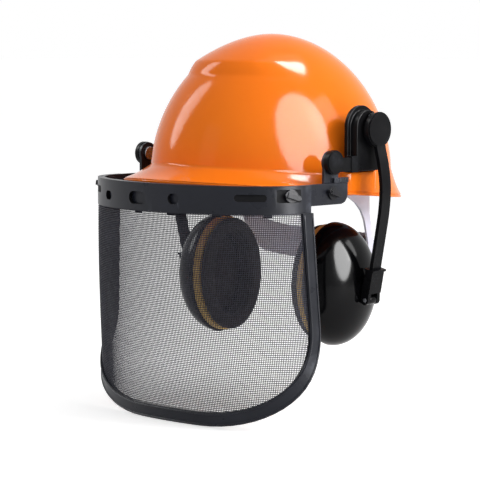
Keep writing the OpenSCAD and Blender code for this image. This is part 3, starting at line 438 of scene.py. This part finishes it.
def dome_point(a, g, inset):
    top = CROWN_H - inset
    z = crease_z(a) + (top - crease_z(a)) * g
    k = narrowing(z, top) * (1 + swell(a, g))
    return Vector(((DOME_HALF_W - inset) * k * math.cos(a),
                   DOME_Y + (DOME_HALF_L - inset) * k * math.sin(a), z))


def rim_point(a, inset, up):
    s, c = math.sin(a), math.cos(a)
    if s < 0:
        y = -(PEAK_REACH - inset) * (-s) ** (2 / PEAK_POWER)
        x = (BRIM_HALF_W - inset) * signed_power(c, 2 / PEAK_POWER)
    else:
        y = (BRIM_REAR - inset) * s
        x = (BRIM_HALF_W - inset) * c
    return Vector((x, y, -y * math.tan(RIM_TILT) + up))


def brim_point(a, t, inset, up):
    p, q = dome_point(a, 0, inset), rim_point(a, inset, up)
    v = t + 0.1 * math.sin(math.pi * t)
    return Vector((p.x + (q.x - p.x) * t, p.y + (q.y - p.y) * t, p.z + (q.z - p.z) * v))


def build_shell():
    around, up_rings, brim_rings = 288, 84, 12
    lowest, highest = 0.012, 0.997
    angles = [2 * math.pi * i / around for i in range(around)]
    heights = [lowest + (highest - lowest) * math.sin(math.pi / 2 * (i / up_rings) ** 0.85)
               for i in range(up_rings + 1)]
    out, inn = [], []
    # the lip: a rounded edge between the shell's underside and its top
    for k in range(7):
        t = math.pi * k / 6
        out.append([rim_point(a, LIP / 2 * (1 - math.sin(t)), LIP / 2 * (1 - math.cos(t))) for a in angles])
    for i in range(brim_rings, -1, -1):
        t = (i / brim_rings) ** 0.8 * 0.98
        out.append([brim_point(a, t, 0, LIP) for a in angles])
    for g in heights:
        out.append([dome_point(a, g, 0) for a in angles])
    for g in reversed(heights[::3]):
        inn.append([dome_point(a, g, WALL) for a in angles])
    for i in range(0, brim_rings + 1, 2):
        inn.append([brim_point(a, 0.98 * i / brim_rings, WALL, 0) for a in angles])
    rings = out + inn
    verts = [p for ring in rings for p in ring]
    faces = loop_faces(len(rings), around, closed_ends=False)
    last = (len(rings) - 1) * around
    for j in range(around):
        k = (j + 1) % around
        faces.append((last + j, last + k, k, j))
    # the two caps of the crown close on their own points, which the wall keeps apart
    top_ring = (len(out) - 1) * around
    in_ring = len(out) * around
    faces = [f for f in faces if not (min(f) >= top_ring and max(f) < in_ring + around
                                      and min(f) < in_ring <= max(f))]
    verts += [Vector((0, DOME_Y, CROWN_H)), Vector((0, DOME_Y, CROWN_H - WALL))]
    for j in range(around):
        k = (j + 1) % around
        faces.append((top_ring + j, top_ring + k, len(verts) - 2))
        faces.append((in_ring + k, in_ring + j, len(verts) - 1))
    obj = new_object("shell_skin", verts, faces)
    outward(obj)
    return obj


def build_boss(name, side):
    """The block on the brim that takes an accessory, with its corners rounded."""
    boss_x, boss_in, top = 0.1132, 0.1012, 0.021
    y0, y1 = -0.020, 0.018
    plan = [(boss_in, y0 - 0.006), (boss_x - 0.004, y0 - 0.003), (boss_x, y0 + 0.003), (boss_x, y1 - 0.003),
            (boss_x - 0.004, y1 + 0.003), (boss_in, y1 + 0.006)]
    if side < 0:
        plan = [(-x, y) for x, y in reversed(plan)]
    rings = [[(x, y, z) for x, y in plan] for z in (0.001, top)]
    obj = ring_piece("slot_boss_" + name, rings)
    add_bevel(obj, 1.3 * MM, 4, 20)
    apply_modifiers(obj)
    return obj


shell = build_shell()
finish_piece(shell, "helmet", MATERIAL["shell"], "shell_orange", "shell")
for name, side in SIDES:
    finish_piece(build_boss(name, side), "helmet", MATERIAL["shell"], "shell_orange")


# ---- hard parts that keep the CAD shape, with rounded edges --------------------------------------------

def dress(node, body, material, slot, width, **more):
    obj = rounded_copy(node, width, **more)
    finish_piece(obj, body, MATERIAL[material], slot, node)
    return obj


dress("headband", "helmet", "harness", "harness_plastic", 0.5 * MM)
dress("strap_keys", "helmet", "harness", "harness_plastic", 0.8 * MM)
dress("strap_studs", "helmet", "harness", "harness_plastic", 0.5 * MM)
dress("ratchet_case", "helmet", "harness", "harness_plastic", 1.2 * MM)
dress("ratchet_knob", "ratchet", "knob", "knob_plastic", 0.7 * MM)
dress("ratchet_pinion", "ratchet", "knob", "knob_plastic", 0.15 * MM)
dress("brow_band", "visor", "band", "band_plastic", 0.5 * MM)
dress("frame_clips", "visor", "band", "band_plastic", 0.3 * MM)
for name, _ in SIDES:
    dress("nape_strap_" + name, "helmet", "harness", "harness_plastic", 0.4 * MM, sharp=50)
    dress("side_bracket_" + name, "helmet", "black", "black_plastic", 1.3 * MM, segments=4)
    dress("visor_arm_" + name, "helmet", "black", "black_plastic", 0.7 * MM)
    dress("visor_pin_" + name, "helmet", "steel", "steel_pin", 0.4 * MM)
    dress("ear_pivot_pin_" + name, "helmet", "steel", "steel_pin", 0.4 * MM)
    dress("visor_carrier_" + name, "visor", "band", "band_plastic", 0.4 * MM)
    dress("lock_front_" + name, "lock_front_" + name, "lock", "lock_plastic", 0.5 * MM)
    dress("lock_rear_" + name, "lock_rear_" + name, "lock", "lock_plastic", 0.5 * MM)
    dress("ear_hub_" + name, "hub_" + name, "black", "black_plastic", 0.5 * MM)
    dress("spread_pin_" + name, "hub_" + name, "steel", "steel_pin", 0.2 * MM)
    dress("ear_arm_" + name, "arm_" + name, "black", "black_plastic", 0.9 * MM, segments=4)
    dress("cup_holder_" + name, "holder_" + name, "black", "black_plastic", 0.5 * MM)
    dress("cup_pin_" + name, "holder_" + name, "steel", "steel_pin", 0.3 * MM)


# ---- visor ------------------------------------------------------------------------------------------

RAIL_HALF_W, RAIL_DEPTH, RAIL_Y = 0.120, 0.069, -0.082
RAIL_TOP, RAIL_LOW, RAIL_T = 0.013, -0.0115, 0.0034
VISOR_DROP, VISOR_SPREAD, VISOR_SLOPE = 0.197, 0.012, 0.022
FRAME_W, CORNER_R = 0.0125, 0.088
SIDE_STRAIGHT = 0.006


def paint_recess_shade(obj):
    """Paints shade into the rail's recesses, slots and bores: their faces get a darker material, which is also
    rougher for the coarse moulded finish.
    """
    obj.data.materials.append(MATERIAL["recess"])
    for face in obj.data.polygons:
        x, y, z = face.center
        if not RAIL_LOW + 0.6 * MM < z < RAIL_TOP - 0.6 * MM:
            continue
        u, v = x / RAIL_HALF_W, min(0.0, y - RAIL_Y) / RAIL_DEPTH
        reach = math.hypot(u, v)
        depth = (1 - reach) * math.hypot(x, min(0.0, y - RAIL_Y)) / reach
        out = Vector((u / RAIL_HALF_W, v / RAIL_DEPTH, 0)).normalized()
        if depth > 0.6 * MM and face.normal.dot(out) > -0.5:
            face.material_index = 1


paint_recess_shade(dress("visor_frame", "visor", "band", "band_plastic", 0.6 * MM))


def sheet_share(z):
    return (RAIL_TOP - z) / (RAIL_TOP + VISOR_DROP)


def quarter_table():
    """Distance round the rail's ellipse from its middle, and the angle there."""
    table, total, steps = [(0.0, 0.0)], 0.0, 180
    for i in range(1, steps + 1):
        a, b = math.radians(90 * (i - 1) / steps), math.radians(90 * i / steps)
        total += math.hypot(RAIL_HALF_W * (math.sin(b) - math.sin(a)), RAIL_DEPTH * (math.cos(b) - math.cos(a)))
        table.append((total, b))
    return table


QUARTER = quarter_table()
ARC_TOTAL = QUARTER[-1][0]
HALF_LEN = ARC_TOTAL + SIDE_STRAIGHT


def quarter_angle(d):
    if d >= ARC_TOTAL:
        return math.pi / 2
    low, high = 0, len(QUARTER) - 1
    while high - low > 1:
        mid = (low + high) // 2
        if QUARTER[mid][0] <= d:
            low = mid
        else:
            high = mid
    (d0, a0), (d1, a1) = QUARTER[low], QUARTER[high]
    return a0 + (a1 - a0) * (d - d0) / (d1 - d0)


def sheet_point(s, z, off):
    """A point of the visor's curved sheet, s along it from the middle and off outward."""
    d, sign = abs(s), -1 if s < 0 else 1
    a, back = quarter_angle(d), max(0.0, d - ARC_TOTAL)
    t = max(0.0, sheet_share(z))
    w = RAIL_HALF_W + VISOR_SPREAD * t ** 0.8 - RAIL_T / 2
    b = RAIL_DEPTH - VISOR_SLOPE * 0.6 * t ** 1.6 - RAIL_T / 2
    y0 = RAIL_Y + VISOR_SLOPE * 0.4 * t ** 1.6
    n = Vector((math.sin(a) / w, -math.cos(a) / b)).normalized()
    return Vector((sign * (w * math.sin(a) + off * n.x), y0 - b * math.cos(a) + back + off * n.y, z))


def half_width_at(z, inset):
    """How far along the sheet the mesh reaches at a height, inside the rounded corners."""
    rw, rh = CORNER_R * 1.4 - inset, CORNER_R - inset
    low, half = -VISOR_DROP + inset, HALF_LEN - inset
    if z >= low + rh:
        return half
    u = (low + rh - z) / rh
    return half - rw + rw * math.sqrt(max(0.0, 1 - u * u)) if u < 1 else 0.0


def foot_at(s, inset):
    rw, rh = CORNER_R * 1.4 - inset, CORNER_R - inset
    low, half = -VISOR_DROP + inset, HALF_LEN - inset
    d = abs(s)
    if d <= half - rw:
        return low
    u = min(1.0, (d - half + rw) / rw)
    return low + rh - rh * math.sqrt(max(0.0, 1 - u * u))


def build_net():
    """The woven wires of the visor: uprights on the inside, cross wires on the outside."""
    pitch, radius, sides = 1.6 * MM, 0.33 * MM, 4
    inset = FRAME_W - 1.2 * MM
    top = RAIL_LOW + 1.0 * MM
    verts, faces = [], []

    def wire(points, across):
        start = len(verts)
        for i, p in enumerate(points):
            ahead = points[min(i + 1, len(points) - 1)] - points[max(i - 1, 0)]
            e1 = ahead.cross(across).normalized()
            e2 = ahead.cross(e1).normalized()
            for k in range(sides):
                t = 2 * math.pi * k / sides
                verts.append(p + e1 * (radius * math.cos(t)) + e2 * (radius * math.sin(t)))
        for f in loop_faces(len(points), sides):
            faces.append(tuple(start + v for v in f))

    columns = int((HALF_LEN - inset) / pitch)
    for i in range(-columns, columns + 1):
        s = i * pitch
        foot = foot_at(s, inset)
        steps = max(2, int((top - foot) / (14 * MM)))
        wire([sheet_point(s, top + (foot - top) * j / steps, -0.26 * MM) for j in range(steps + 1)],
             Vector((0.3, 1, 0)))
    rows = int((top + VISOR_DROP - inset) / pitch)
    for j in range(rows + 1):
        z = top - j * pitch
        half = half_width_at(z, inset)
        if half < pitch:
            continue
        steps = max(8, int(2 * half / (4.5 * MM)))
        wire([sheet_point(-half + 2 * half * i / steps, z, 0.26 * MM) for i in range(steps + 1)],
             Vector((0, 0, 1)))
    return new_object("visor_net", verts, faces)


def outline_points(inset):
    """The frame's outline in its sheet, from the left top corner round the bottom to the right one."""
    h, low = HALF_LEN - inset, -VISOR_DROP + inset
    rw, rh = CORNER_R * 1.4 - inset, CORNER_R - inset
    top = RAIL_LOW - 0.2 * MM
    side = [(h, top + (low + rh - top) * i / 24) for i in range(24)]
    corner = [(h - rw + rw * math.cos(math.pi / 2 * i / 40), low + rh - rh * math.sin(math.pi / 2 * i / 40))
              for i in range(41)]
    flat = [((h - rw) * (1 - i / 20), low) for i in range(1, 20)]
    half = side + corner + flat
    return half + [(0.0, low)] + [(-s, z) for s, z in reversed(half)]


def build_bead(name, inset, radius, rise):
    """A rounded rib along the visor's frame."""
    rings = []
    for s, z in outline_points(inset):
        mid = sheet_point(s, z, rise)
        face = (sheet_point(s, z, rise + MM) - mid).normalized()
        inner = outline_inward(s, z, rise)
        rings.append([mid + face * (radius * math.cos(math.pi * k / 5)) + inner * (radius * math.sin(math.pi * k / 5))
                      for k in range(10)])
    return ring_piece(name, rings)


def outline_inward(s, z, rise):
    """The direction in the sheet from a point of the frame's edge towards its middle."""
    rw, rh = CORNER_R * 1.4, CORNER_R
    low, half = -VISOR_DROP, HALF_LEN
    ds = -math.copysign(max(0.0, abs(s) - (half - rw)) / rw ** 2, s)
    dz = max(0.0, low + rh - z) / rh ** 2
    size = math.hypot(ds, dz) or 1.0
    step = 0.4 * MM
    a = sheet_point(s, z, rise)
    b = sheet_point(s + ds / size * step, z + dz / size * step, rise)
    return (b - a).normalized()


for bead_name, bead_inset in (("frame_rib_outer", 1.4 * MM), ("frame_rib_inner", FRAME_W - 1.5 * MM)):
    finish_piece(build_bead(bead_name, bead_inset, 0.75 * MM, 2.0 * MM), "visor", MATERIAL["band"], "band_plastic")

net = build_net()
finish_piece(net, "visor", MATERIAL["wire"], "wire_mesh", "visor_mesh")


# ---- ear cups ---------------------------------------------------------------------------------------

CUP_LOW, CUP_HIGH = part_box("cup_seal_left")
CUP_Y = (CUP_LOW.y + CUP_HIGH.y) / 2
CUP_Z = (CUP_LOW.z + CUP_HIGH.z) / 2
CUP_HALF_W, CUP_HALF_H = 0.0415, 0.0555
CUP_FACE = 0.0695
CUP_DEPTH, CUP_WALL, CUP_POWER = 0.0365, 0.0025, 2.15
CUSHION_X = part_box("cup_cushion_left")[0].x
SEAL_X = CUP_LOW.x + 2.2 * MM
CUSHION_T = SEAL_X - CUSHION_X
RING_W = 0.017
CUSHION_INSET = 0.0028
SEAL_INSET = 0.0022
SEAL_RING = 0.0085


def cup_oval(x, half_w, half_h, count=112):
    return [(x, CUP_Y + half_w * math.cos(2 * math.pi * i / count),
             CUP_Z + half_h * math.sin(2 * math.pi * i / count)) for i in range(count)]


def build_cup():
    """The cup's shell, with a rolled edge at its opening."""
    rings = []
    for k in range(5):
        t = math.pi * k / 4
        r = CUP_WALL / 2
        rings.append(cup_oval(CUP_FACE + r - r * math.sin(t) * 0.9, CUP_HALF_W - r + r * -math.cos(t),
                              CUP_HALF_H - r + r * -math.cos(t)))
    for i in range(1, 41):
        q = math.radians(88.5 * i / 40)
        k = math.cos(q) ** (2 / CUP_POWER)
        x = CUP_FACE + CUP_DEPTH * math.sin(q) ** (2 / CUP_POWER)
        rings.append(cup_oval(x, CUP_HALF_W * k, CUP_HALF_H * k))
    inner = []
    for i in range(0, 13):
        q = math.radians(86 * i / 12)
        k = math.cos(q) ** (2 / CUP_POWER)
        x = CUP_FACE + (CUP_DEPTH - CUP_WALL) * math.sin(q) ** (2 / CUP_POWER)
        inner.append(cup_oval(x + 0.4 * MM, (CUP_HALF_W - CUP_WALL) * k, (CUP_HALF_H - CUP_WALL) * k))
    rings = list(reversed(inner)) + rings
    return ring_piece("cup_body_left", rings)


def build_lug():
    """The lug under the cup's pole that the holder's pin goes through."""
    pin_low, pin_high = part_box("cup_pin_left")
    centre = (pin_low + pin_high) / 2
    half, r, foot, count = 4 * MM, 4 * MM, 9 * MM, 20
    outline = [(centre.x + r * math.cos(math.radians(-90 + 180 * i / count)),
                centre.z + r * math.sin(math.radians(-90 + 180 * i / count))) for i in range(count + 1)]
    outline += [(centre.x - foot, centre.z + r), (centre.x - foot, centre.z - r)]
    rings = [[(x, centre.y + y, z) for x, z in outline] for y in (-half, half)]
    obj = ring_piece("cup_lug_left", rings)
    add_bevel(obj, 0.5 * MM, 3, 40)
    apply_modifiers(obj)
    return obj


def tube_ring(name, x0, x1, outer, inner, power, count=128, around=28):
    """An oval ring whose section is a superellipse; outer and inner are insets from the cup's edge."""
    cx, hx = (x0 + x1) / 2, (x1 - x0) / 2
    mid, hr = (outer + inner) / 2, (inner - outer) / 2
    rings = []
    for i in range(count):
        a = 2 * math.pi * i / count
        c, s = math.cos(a), math.sin(a)
        ring = []
        for j in range(around):
            t = 2 * math.pi * j / around
            dx = hx * signed_power(math.cos(t), 2 / power)
            dr = hr * signed_power(math.sin(t), 2 / power)
            ring.append(Vector((cx + dx, CUP_Y + (CUP_HALF_W - mid - dr) * c, CUP_Z + (CUP_HALF_H - mid - dr) * s)))
        rings.append(ring)
    return ring_piece(name, rings, wrap=True)


CLOTH_FRAMES = 20


def swell_cloth(obj, pressure, cap, pinned):
    """Inflates a closed mesh a little with a cloth simulation, and lets no point move further than cap."""
    rest = [v.co.copy() for v in obj.data.vertices]
    pins = obj.vertex_groups.new(name="pins")
    pins.add([i for i, co in enumerate(rest) if pinned(co)], 1.0, "REPLACE")
    cloth = obj.modifiers.new("cloth", "CLOTH")
    settings = cloth.settings
    settings.quality = 6
    settings.mass = 0.2
    settings.effector_weights.gravity = 0.0
    settings.use_pressure = True
    settings.uniform_pressure_force = pressure
    settings.vertex_group_mass = "pins"
    settings.tension_stiffness = 18
    settings.compression_stiffness = 12
    settings.bending_stiffness = 0.6
    cloth.point_cache.frame_start, cloth.point_cache.frame_end = 1, CLOTH_FRAMES
    scene = bpy.context.scene
    for f in range(1, CLOTH_FRAMES + 1):
        scene.frame_set(f)
    depsgraph = bpy.context.evaluated_depsgraph_get()
    moved = [v.co.copy() for v in obj.evaluated_get(depsgraph).data.vertices]
    obj.modifiers.clear()
    scene.frame_set(1)
    for v, a, b in zip(obj.data.vertices, rest, moved):
        step = b - a
        if step.length > cap:
            step *= cap / step.length
        v.co = a + step
    obj.vertex_groups.clear()
    obj.data.update()


def subdivide(obj):
    sub = obj.modifiers.new("smooth", "SUBSURF")
    sub.levels = sub.render_levels = 1
    apply_modifiers(obj)
    obj.data.shade_smooth()


def build_cushion():
    """The ear cushion: a soft skin ring, tucked in at its back edge."""
    obj = tube_ring("cushion_left", CUSHION_X + 0.6 * MM, CUSHION_X + CUSHION_T - 0.2 * MM,
                    CUSHION_INSET + 0.5 * MM, RING_W - 0.8 * MM, 2.6, count=112, around=24)
    for v in obj.data.vertices:
        # small puckers round the inner edge, where the skin is drawn in
        a = math.atan2(v.co.z - CUP_Z, v.co.y - CUP_Y)
        inner = max(0.0, 1 - math.hypot((v.co.y - CUP_Y) / (CUP_HALF_W - RING_W),
                                        (v.co.z - CUP_Z) / (CUP_HALF_H - RING_W)) + 0.35)
        v.co.x += 0.25 * MM * inner * math.sin(a * 34 + 2 * math.sin(a * 5))
    back = CUSHION_X + CUSHION_T - 1.2 * MM
    swell_cloth(obj, 5.0, 0.9 * MM, pinned=lambda co: co.x > back)
    subdivide(obj)
    return obj


def build_foam():
    """The foam inside the cup: a crowned block."""
    low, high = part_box("cup_foam_left")
    half_w, half_h = (high.y - low.y) / 2, (high.z - low.z) / 2
    rings = []
    for i in range(15):
        k = i / 14
        x = high.x - 0.001 - (high.x - low.x - 0.002) * k
        tuck = 1 - 0.06 * math.sin(math.pi * k) - (0.10 if i in (0, 14) else 0.0)
        rings.append(cup_oval(x, half_w * tuck, half_h * tuck, 72))
    for i in range(1, 12):
        k = 1 - i / 12
        face = low.x + 0.001 - 0.9 * MM * (1 - k * k)
        rings.append(cup_oval(face, half_w * 0.9 * k, half_h * 0.9 * k, 72))
    obj = ring_piece("foam_left", rings)
    swell_cloth(obj, 3.0, 1.0 * MM, pinned=lambda co: co.x > high.x - 4 * MM)
    subdivide(obj)
    return obj


cup_body, cup_lug = build_cup(), build_lug()
cushion, foam = build_cushion(), build_foam()
seal = tube_ring("seal_left", SEAL_X, CUP_HIGH.x, SEAL_INSET, SEAL_RING, 7, count=160, around=32)
skirt = tube_ring("cushion_skirt_left", CUSHION_X + CUSHION_T - 1.5 * MM, CUP_HIGH.x, SEAL_RING + 0.4 * MM,
                  RING_W - 0.6 * MM, 5, count=128, around=24)
for v in seal.data.vertices:
    # two shallow grooves round the seal's edge
    t = (v.co.x - SEAL_X) / (CUP_HIGH.x - SEAL_X)
    groove = 0.5 * MM * (math.exp(-((t - 0.3) / 0.05) ** 2) + math.exp(-((t - 0.7) / 0.05) ** 2))
    out = Vector((0, v.co.y - CUP_Y, v.co.z - CUP_Z))
    v.co -= out.normalized() * groove

for name, side in SIDES:
    pieces = [(cup_body, "cup_body_", "cup", "cup_black", ("cup_shell_",)),
              (cup_lug, "cup_lug_", "cup", "cup_black", ()),
              (seal, "seal_", "seal", "seal_tan", ("cup_seal_",)),
              (cushion, "cushion_", "cushion", "cushion_skin", ("cup_cushion_",)),
              (skirt, "cushion_skirt_", "cushion", "cushion_skin", ()),
              (foam, "foam_", "foam", "foam", ("cup_foam_",))]
    for source, stem, material, slot, nodes in pieces:
        piece = source if side > 0 else mirror_object(source, stem + name)
        finish_piece(piece, "cup_" + name, MATERIAL[material], slot, *[n + name for n in nodes])


# ---- harness soft parts -----------------------------------------------------------------------------

BAND_HALF_W, BAND_HALF_L, BAND_Y = 0.080, 0.098, 0.004
BAND_LOW, BAND_H, BAND_T = 0.002, 0.028, 0.002
STRAP_FOOT = BAND_LOW + BAND_H + 0.002
STRAP_W, STRAP_T, CRADLE_RISE = 0.020, 0.0014, 0.060


def band_reach(a, off):
    return 1 / math.hypot(math.cos(a) / (BAND_HALF_W + off), math.sin(a) / (BAND_HALF_L + off))


def strap_radius(a):
    return band_reach(a, BAND_T) - 0.2 * MM


def build_strap(name, degrees, over):
    """A crown strap of webbing: a flat band over the head with thick selvedges and a slight cup."""
    a = math.radians(degrees)
    r, h = strap_radius(a), CRADLE_RISE + over
    steps, across = 96, 12
    verts, uvs = [], []
    turn = Matrix.Rotation(a, 3, "Z")
    length = 0.0
    last = None
    for i in range(steps + 1):
        t = math.pi * i / steps
        c, s = math.cos(t), math.sin(t)
        n = Vector((c / r, 0, s / h)).normalized()
        mid = Vector(((r - STRAP_T / 2) * c, 0, (h - STRAP_T / 2) * s))
        length += (mid - last).length if last else 0
        last = mid
        for j in range(2 * (across + 1)):
            top = j <= across
            k = (j if top else 2 * across + 1 - j) / across
            edge = abs(2 * k - 1) ** 6
            lift = STRAP_T * (0.36 + 0.12 * edge) * (1 if top else -1) * (1 - 0.5 * abs(2 * k - 1) ** 40)
            p = mid + n * lift + Vector((0, (k - 0.5) * STRAP_W, 0))
            p = turn @ p
            verts.append((p.x, BAND_Y + p.y, STRAP_FOOT + p.z))
            uvs.append((length, k * STRAP_W))
    obj = new_object(name, verts, loop_faces(steps + 1, 2 * (across + 1)))
    layer = obj.data.uv_layers.new(name="along")
    for loop in obj.data.loops:
        layer.data[loop.index].uv = uvs[loop.vertex_index]
    outward(obj)
    return obj


def arc_pad(name, a0, a1, inner, outer, z0, z1, quilt):
    """A curved pad between two insets from the headband, crowned between its sewn lines."""
    steps, around = 72, 24
    rings = []
    zc, hz = (z0 + z1) / 2, (z1 - z0) / 2
    cr, hr = (inner + outer) / 2, (outer - inner) / 2
    for i in range(steps + 1):
        t = i / steps
        a = math.radians(a0 + (a1 - a0) * t)
        end = math.sqrt(max(0.02, 1 - abs(2 * t - 1) ** 14))
        puff = 1 - 0.4 * math.exp(-((abs((t * quilt) % 1 - 0.5) - 0.5) / 0.06) ** 2)
        ring = []
        for j in range(around):
            u = 2 * math.pi * j / around
            dz = hz * end * signed_power(math.sin(u), 2 / 3.2)
            dr = hr * (puff if math.cos(u) < 0 else 1) * end * signed_power(math.cos(u), 2 / 3.2)
            ring.append(Vector(((BAND_HALF_W + cr + dr) * math.cos(a), BAND_Y + (BAND_HALF_L + cr + dr) * math.sin(a),
                                zc + dz)))
        rings.append(ring)
    return ring_piece(name, rings)


def build_crown_pad():
    """A round quilted pad under the crown straps."""
    half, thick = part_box("crown_pad")[1].x, 5 * MM
    r, h = strap_radius(math.radians(52)) - STRAP_T - 0.006, CRADLE_RISE - STRAP_T

    def surface(x):
        return STRAP_FOOT + h * math.sqrt(1 - (x / r) ** 2) - 0.3 * MM

    count = 72
    shares = [math.sin(math.pi / 2 * i / 12) for i in range(1, 13)]
    rings = [(half * k, -0.15 * MM) for k in shares] + [(half, -thick * 0.5)]
    for k in reversed(shares):
        quilt = 0.9 * MM * math.exp(-((k - 0.55) / 0.05) ** 2)
        rings.append((half * k * 0.99, -thick + 0.5 * MM + quilt + 1.2 * MM * k ** 10))
    points = []
    for radius, drop in rings:
        ring = []
        for j in range(count):
            a = 2 * math.pi * j / count
            seam = 0.5 * MM * math.exp(-(math.sin(3 * a) / 0.12) ** 2) if drop < -thick * 0.6 else 0.0
            ring.append(Vector((radius * math.cos(a), BAND_Y + radius * math.sin(a),
                                surface(min(radius, half)) + drop + seam)))
        points.append(ring)
    return ring_piece("crown_cushion", points)


finish_piece(build_strap("crown_webbing_left", -52, 0), "helmet", MATERIAL["webbing"], "webbing", "crown_strap_left")
finish_piece(build_strap("crown_webbing_right", 232, STRAP_T + 0.9 * MM), "helmet", MATERIAL["webbing"], "webbing",
             "crown_strap_right")
brow_pad = arc_pad("brow_sweatband", -150, -30, -3.0 * MM, -0.15 * MM, 0.003, 0.031, 9)
nape_pad = arc_pad("nape_cushion", 62, 118, -2.0 * MM, 1.7 * MM, -0.074, -0.046, 5)
crown_pad = build_crown_pad()
for piece, node in ((brow_pad, "sweatband"), (nape_pad, "nape_pad"), (crown_pad, "crown_pad")):
    finish_piece(piece, "helmet", MATERIAL["pad"], "pad_cloth", node)


# ---- studio -----------------------------------------------------------------------------------------

def seen_share(tree, hidden, seen):
    """One strength for rays from the camera, mirrors and glass, and another for the rest."""
    path = tree.nodes.new("ShaderNodeLightPath")
    total = path.outputs["Is Camera Ray"]
    for name in ("Is Glossy Ray", "Is Transmission Ray"):
        either = tree.nodes.new("ShaderNodeMath")
        either.operation = "MAXIMUM"
        tree.links.new(total, either.inputs[0])
        tree.links.new(path.outputs[name], either.inputs[1])
        total = either.outputs[0]
    strength = tree.nodes.new("ShaderNodeMapRange")
    strength.inputs["To Min"].default_value = hidden
    strength.inputs["To Max"].default_value = seen
    tree.links.new(total, strength.inputs["Value"])
    return strength.outputs["Result"]


def stage_material(name, color, seen):
    """A pale surface that the camera, mirrors and glass see at the given strength."""
    mat = bpy.data.materials.new(name)
    mat.use_nodes = True
    tree = mat.node_tree
    shader = tree.nodes["Principled BSDF"]
    shader.inputs["Base Color"].default_value = color
    shader.inputs["Roughness"].default_value = 0.9
    shader.inputs["Specular IOR Level"].default_value = 0.1
    shader.inputs["Emission Color"].default_value = (1, 1, 1, 1)
    tree.links.new(seen_share(tree, 0.0, seen), shader.inputs["Emission Strength"])
    return mat


FLOOR_Z, FLOOR_REACH = cad_box[0].z - 0.6 * MM, 30
floor = new_object("floor", [(x * FLOOR_REACH, y * FLOOR_REACH, FLOOR_Z) for x, y in
                             ((-1, -1), (1, -1), (1, 1), (-1, 1))], [(0, 1, 2, 3)], smooth=False)
floor.data.materials.append(stage_material("floor_paint", (0.86, 0.86, 0.86, 1), 0.55))

world = bpy.data.worlds.new("studio")
bpy.context.scene.world = world
world.use_nodes = True
tree = world.node_tree
background = tree.nodes["Background"]
background.inputs["Color"].default_value = (1, 1, 1, 1)
tree.links.new(seen_share(tree, 0.5, 1.0), background.inputs["Strength"])

CAMERA_TURN, CAMERA_RISE = math.radians(44), math.radians(5.2)
CAMERA_FAR, CAMERA_RIGHT, CAMERA_UP = 2.0, -0.027, -0.046
CAMERA_LENS = 164.6
ct, st, cp, sp = math.cos(CAMERA_TURN), math.sin(CAMERA_TURN), math.cos(CAMERA_RISE), math.sin(CAMERA_RISE)
cam_right = Vector((ct, st, 0))
cam_up = Vector((-st * sp, ct * sp, cp))
cam_back = Vector((st * cp, -ct * cp, sp))


def aim(obj, place, target):
    obj.location = place
    obj.rotation_mode = "QUATERNION"
    obj.rotation_quaternion = (Vector(target) - Vector(place)).to_track_quat("-Z", "Y")


camera = bpy.data.objects.new("camera", bpy.data.cameras.new("camera"))
bpy.context.scene.collection.objects.link(camera)
camera.data.sensor_width, camera.data.lens = 36, CAMERA_LENS
camera.data.clip_end = 100
basis = Matrix((cam_right, cam_up, cam_back)).transposed().to_4x4()
camera_place = cam_back * CAMERA_FAR + cam_right * CAMERA_RIGHT + cam_up * CAMERA_UP
camera.matrix_world = Matrix.Translation(camera_place) @ basis
bpy.context.scene.camera = camera


def area_light(name, direction, distance, width, height, power):
    """A soft box: direction is given as shares of the camera's right, up and back."""
    light = bpy.data.lights.new(name, "AREA")
    light.shape, light.size, light.size_y = "RECTANGLE", width, height
    light.energy = power
    obj = bpy.data.objects.new(name, light)
    bpy.context.scene.collection.objects.link(obj)
    r, u, b = direction
    way = (cam_right * r + cam_up * u + cam_back * b).normalized()
    target = Vector((0, -0.02, 0))
    aim(obj, target + way * distance, target)
    return obj


GLINT_FAR = 1.5


def glint_box(name, direction, width, height, radiance, shape="ELLIPSE"):
    """A soft box that only shows in reflections, for the bright shapes on glossy plastic."""
    area = width * height * (math.pi / 4 if shape == "ELLIPSE" else 1)
    box = area_light(name, direction, GLINT_FAR, width, height, radiance * area * math.pi)
    box.data.shape = shape
    box.visible_diffuse = False
    box.visible_camera = False
    return box


area_light("key", (0.95, 0.6, 0.35), 1.7, 0.8, 0.8, 20)
area_light("fill", (-0.9, 0.35, 0.7), 1.8, 0.6, 1.0, 2)
area_light("top", (0.25, 1.0, 0.0), 1.6, 0.9, 0.9, 4)
glint_box("glint_key", (0.62, 0.42, 0.66), 1.2, 1.7, 44)
glint_box("glint_side", (-0.80, 0.55, -0.22), 0.45, 1.1, 13)
glint_box("glint_top", (0.40, 0.89, -0.05), 0.3, 0.22, 70, "RECTANGLE")

bpy.context.scene.view_settings.view_transform = "Standard"
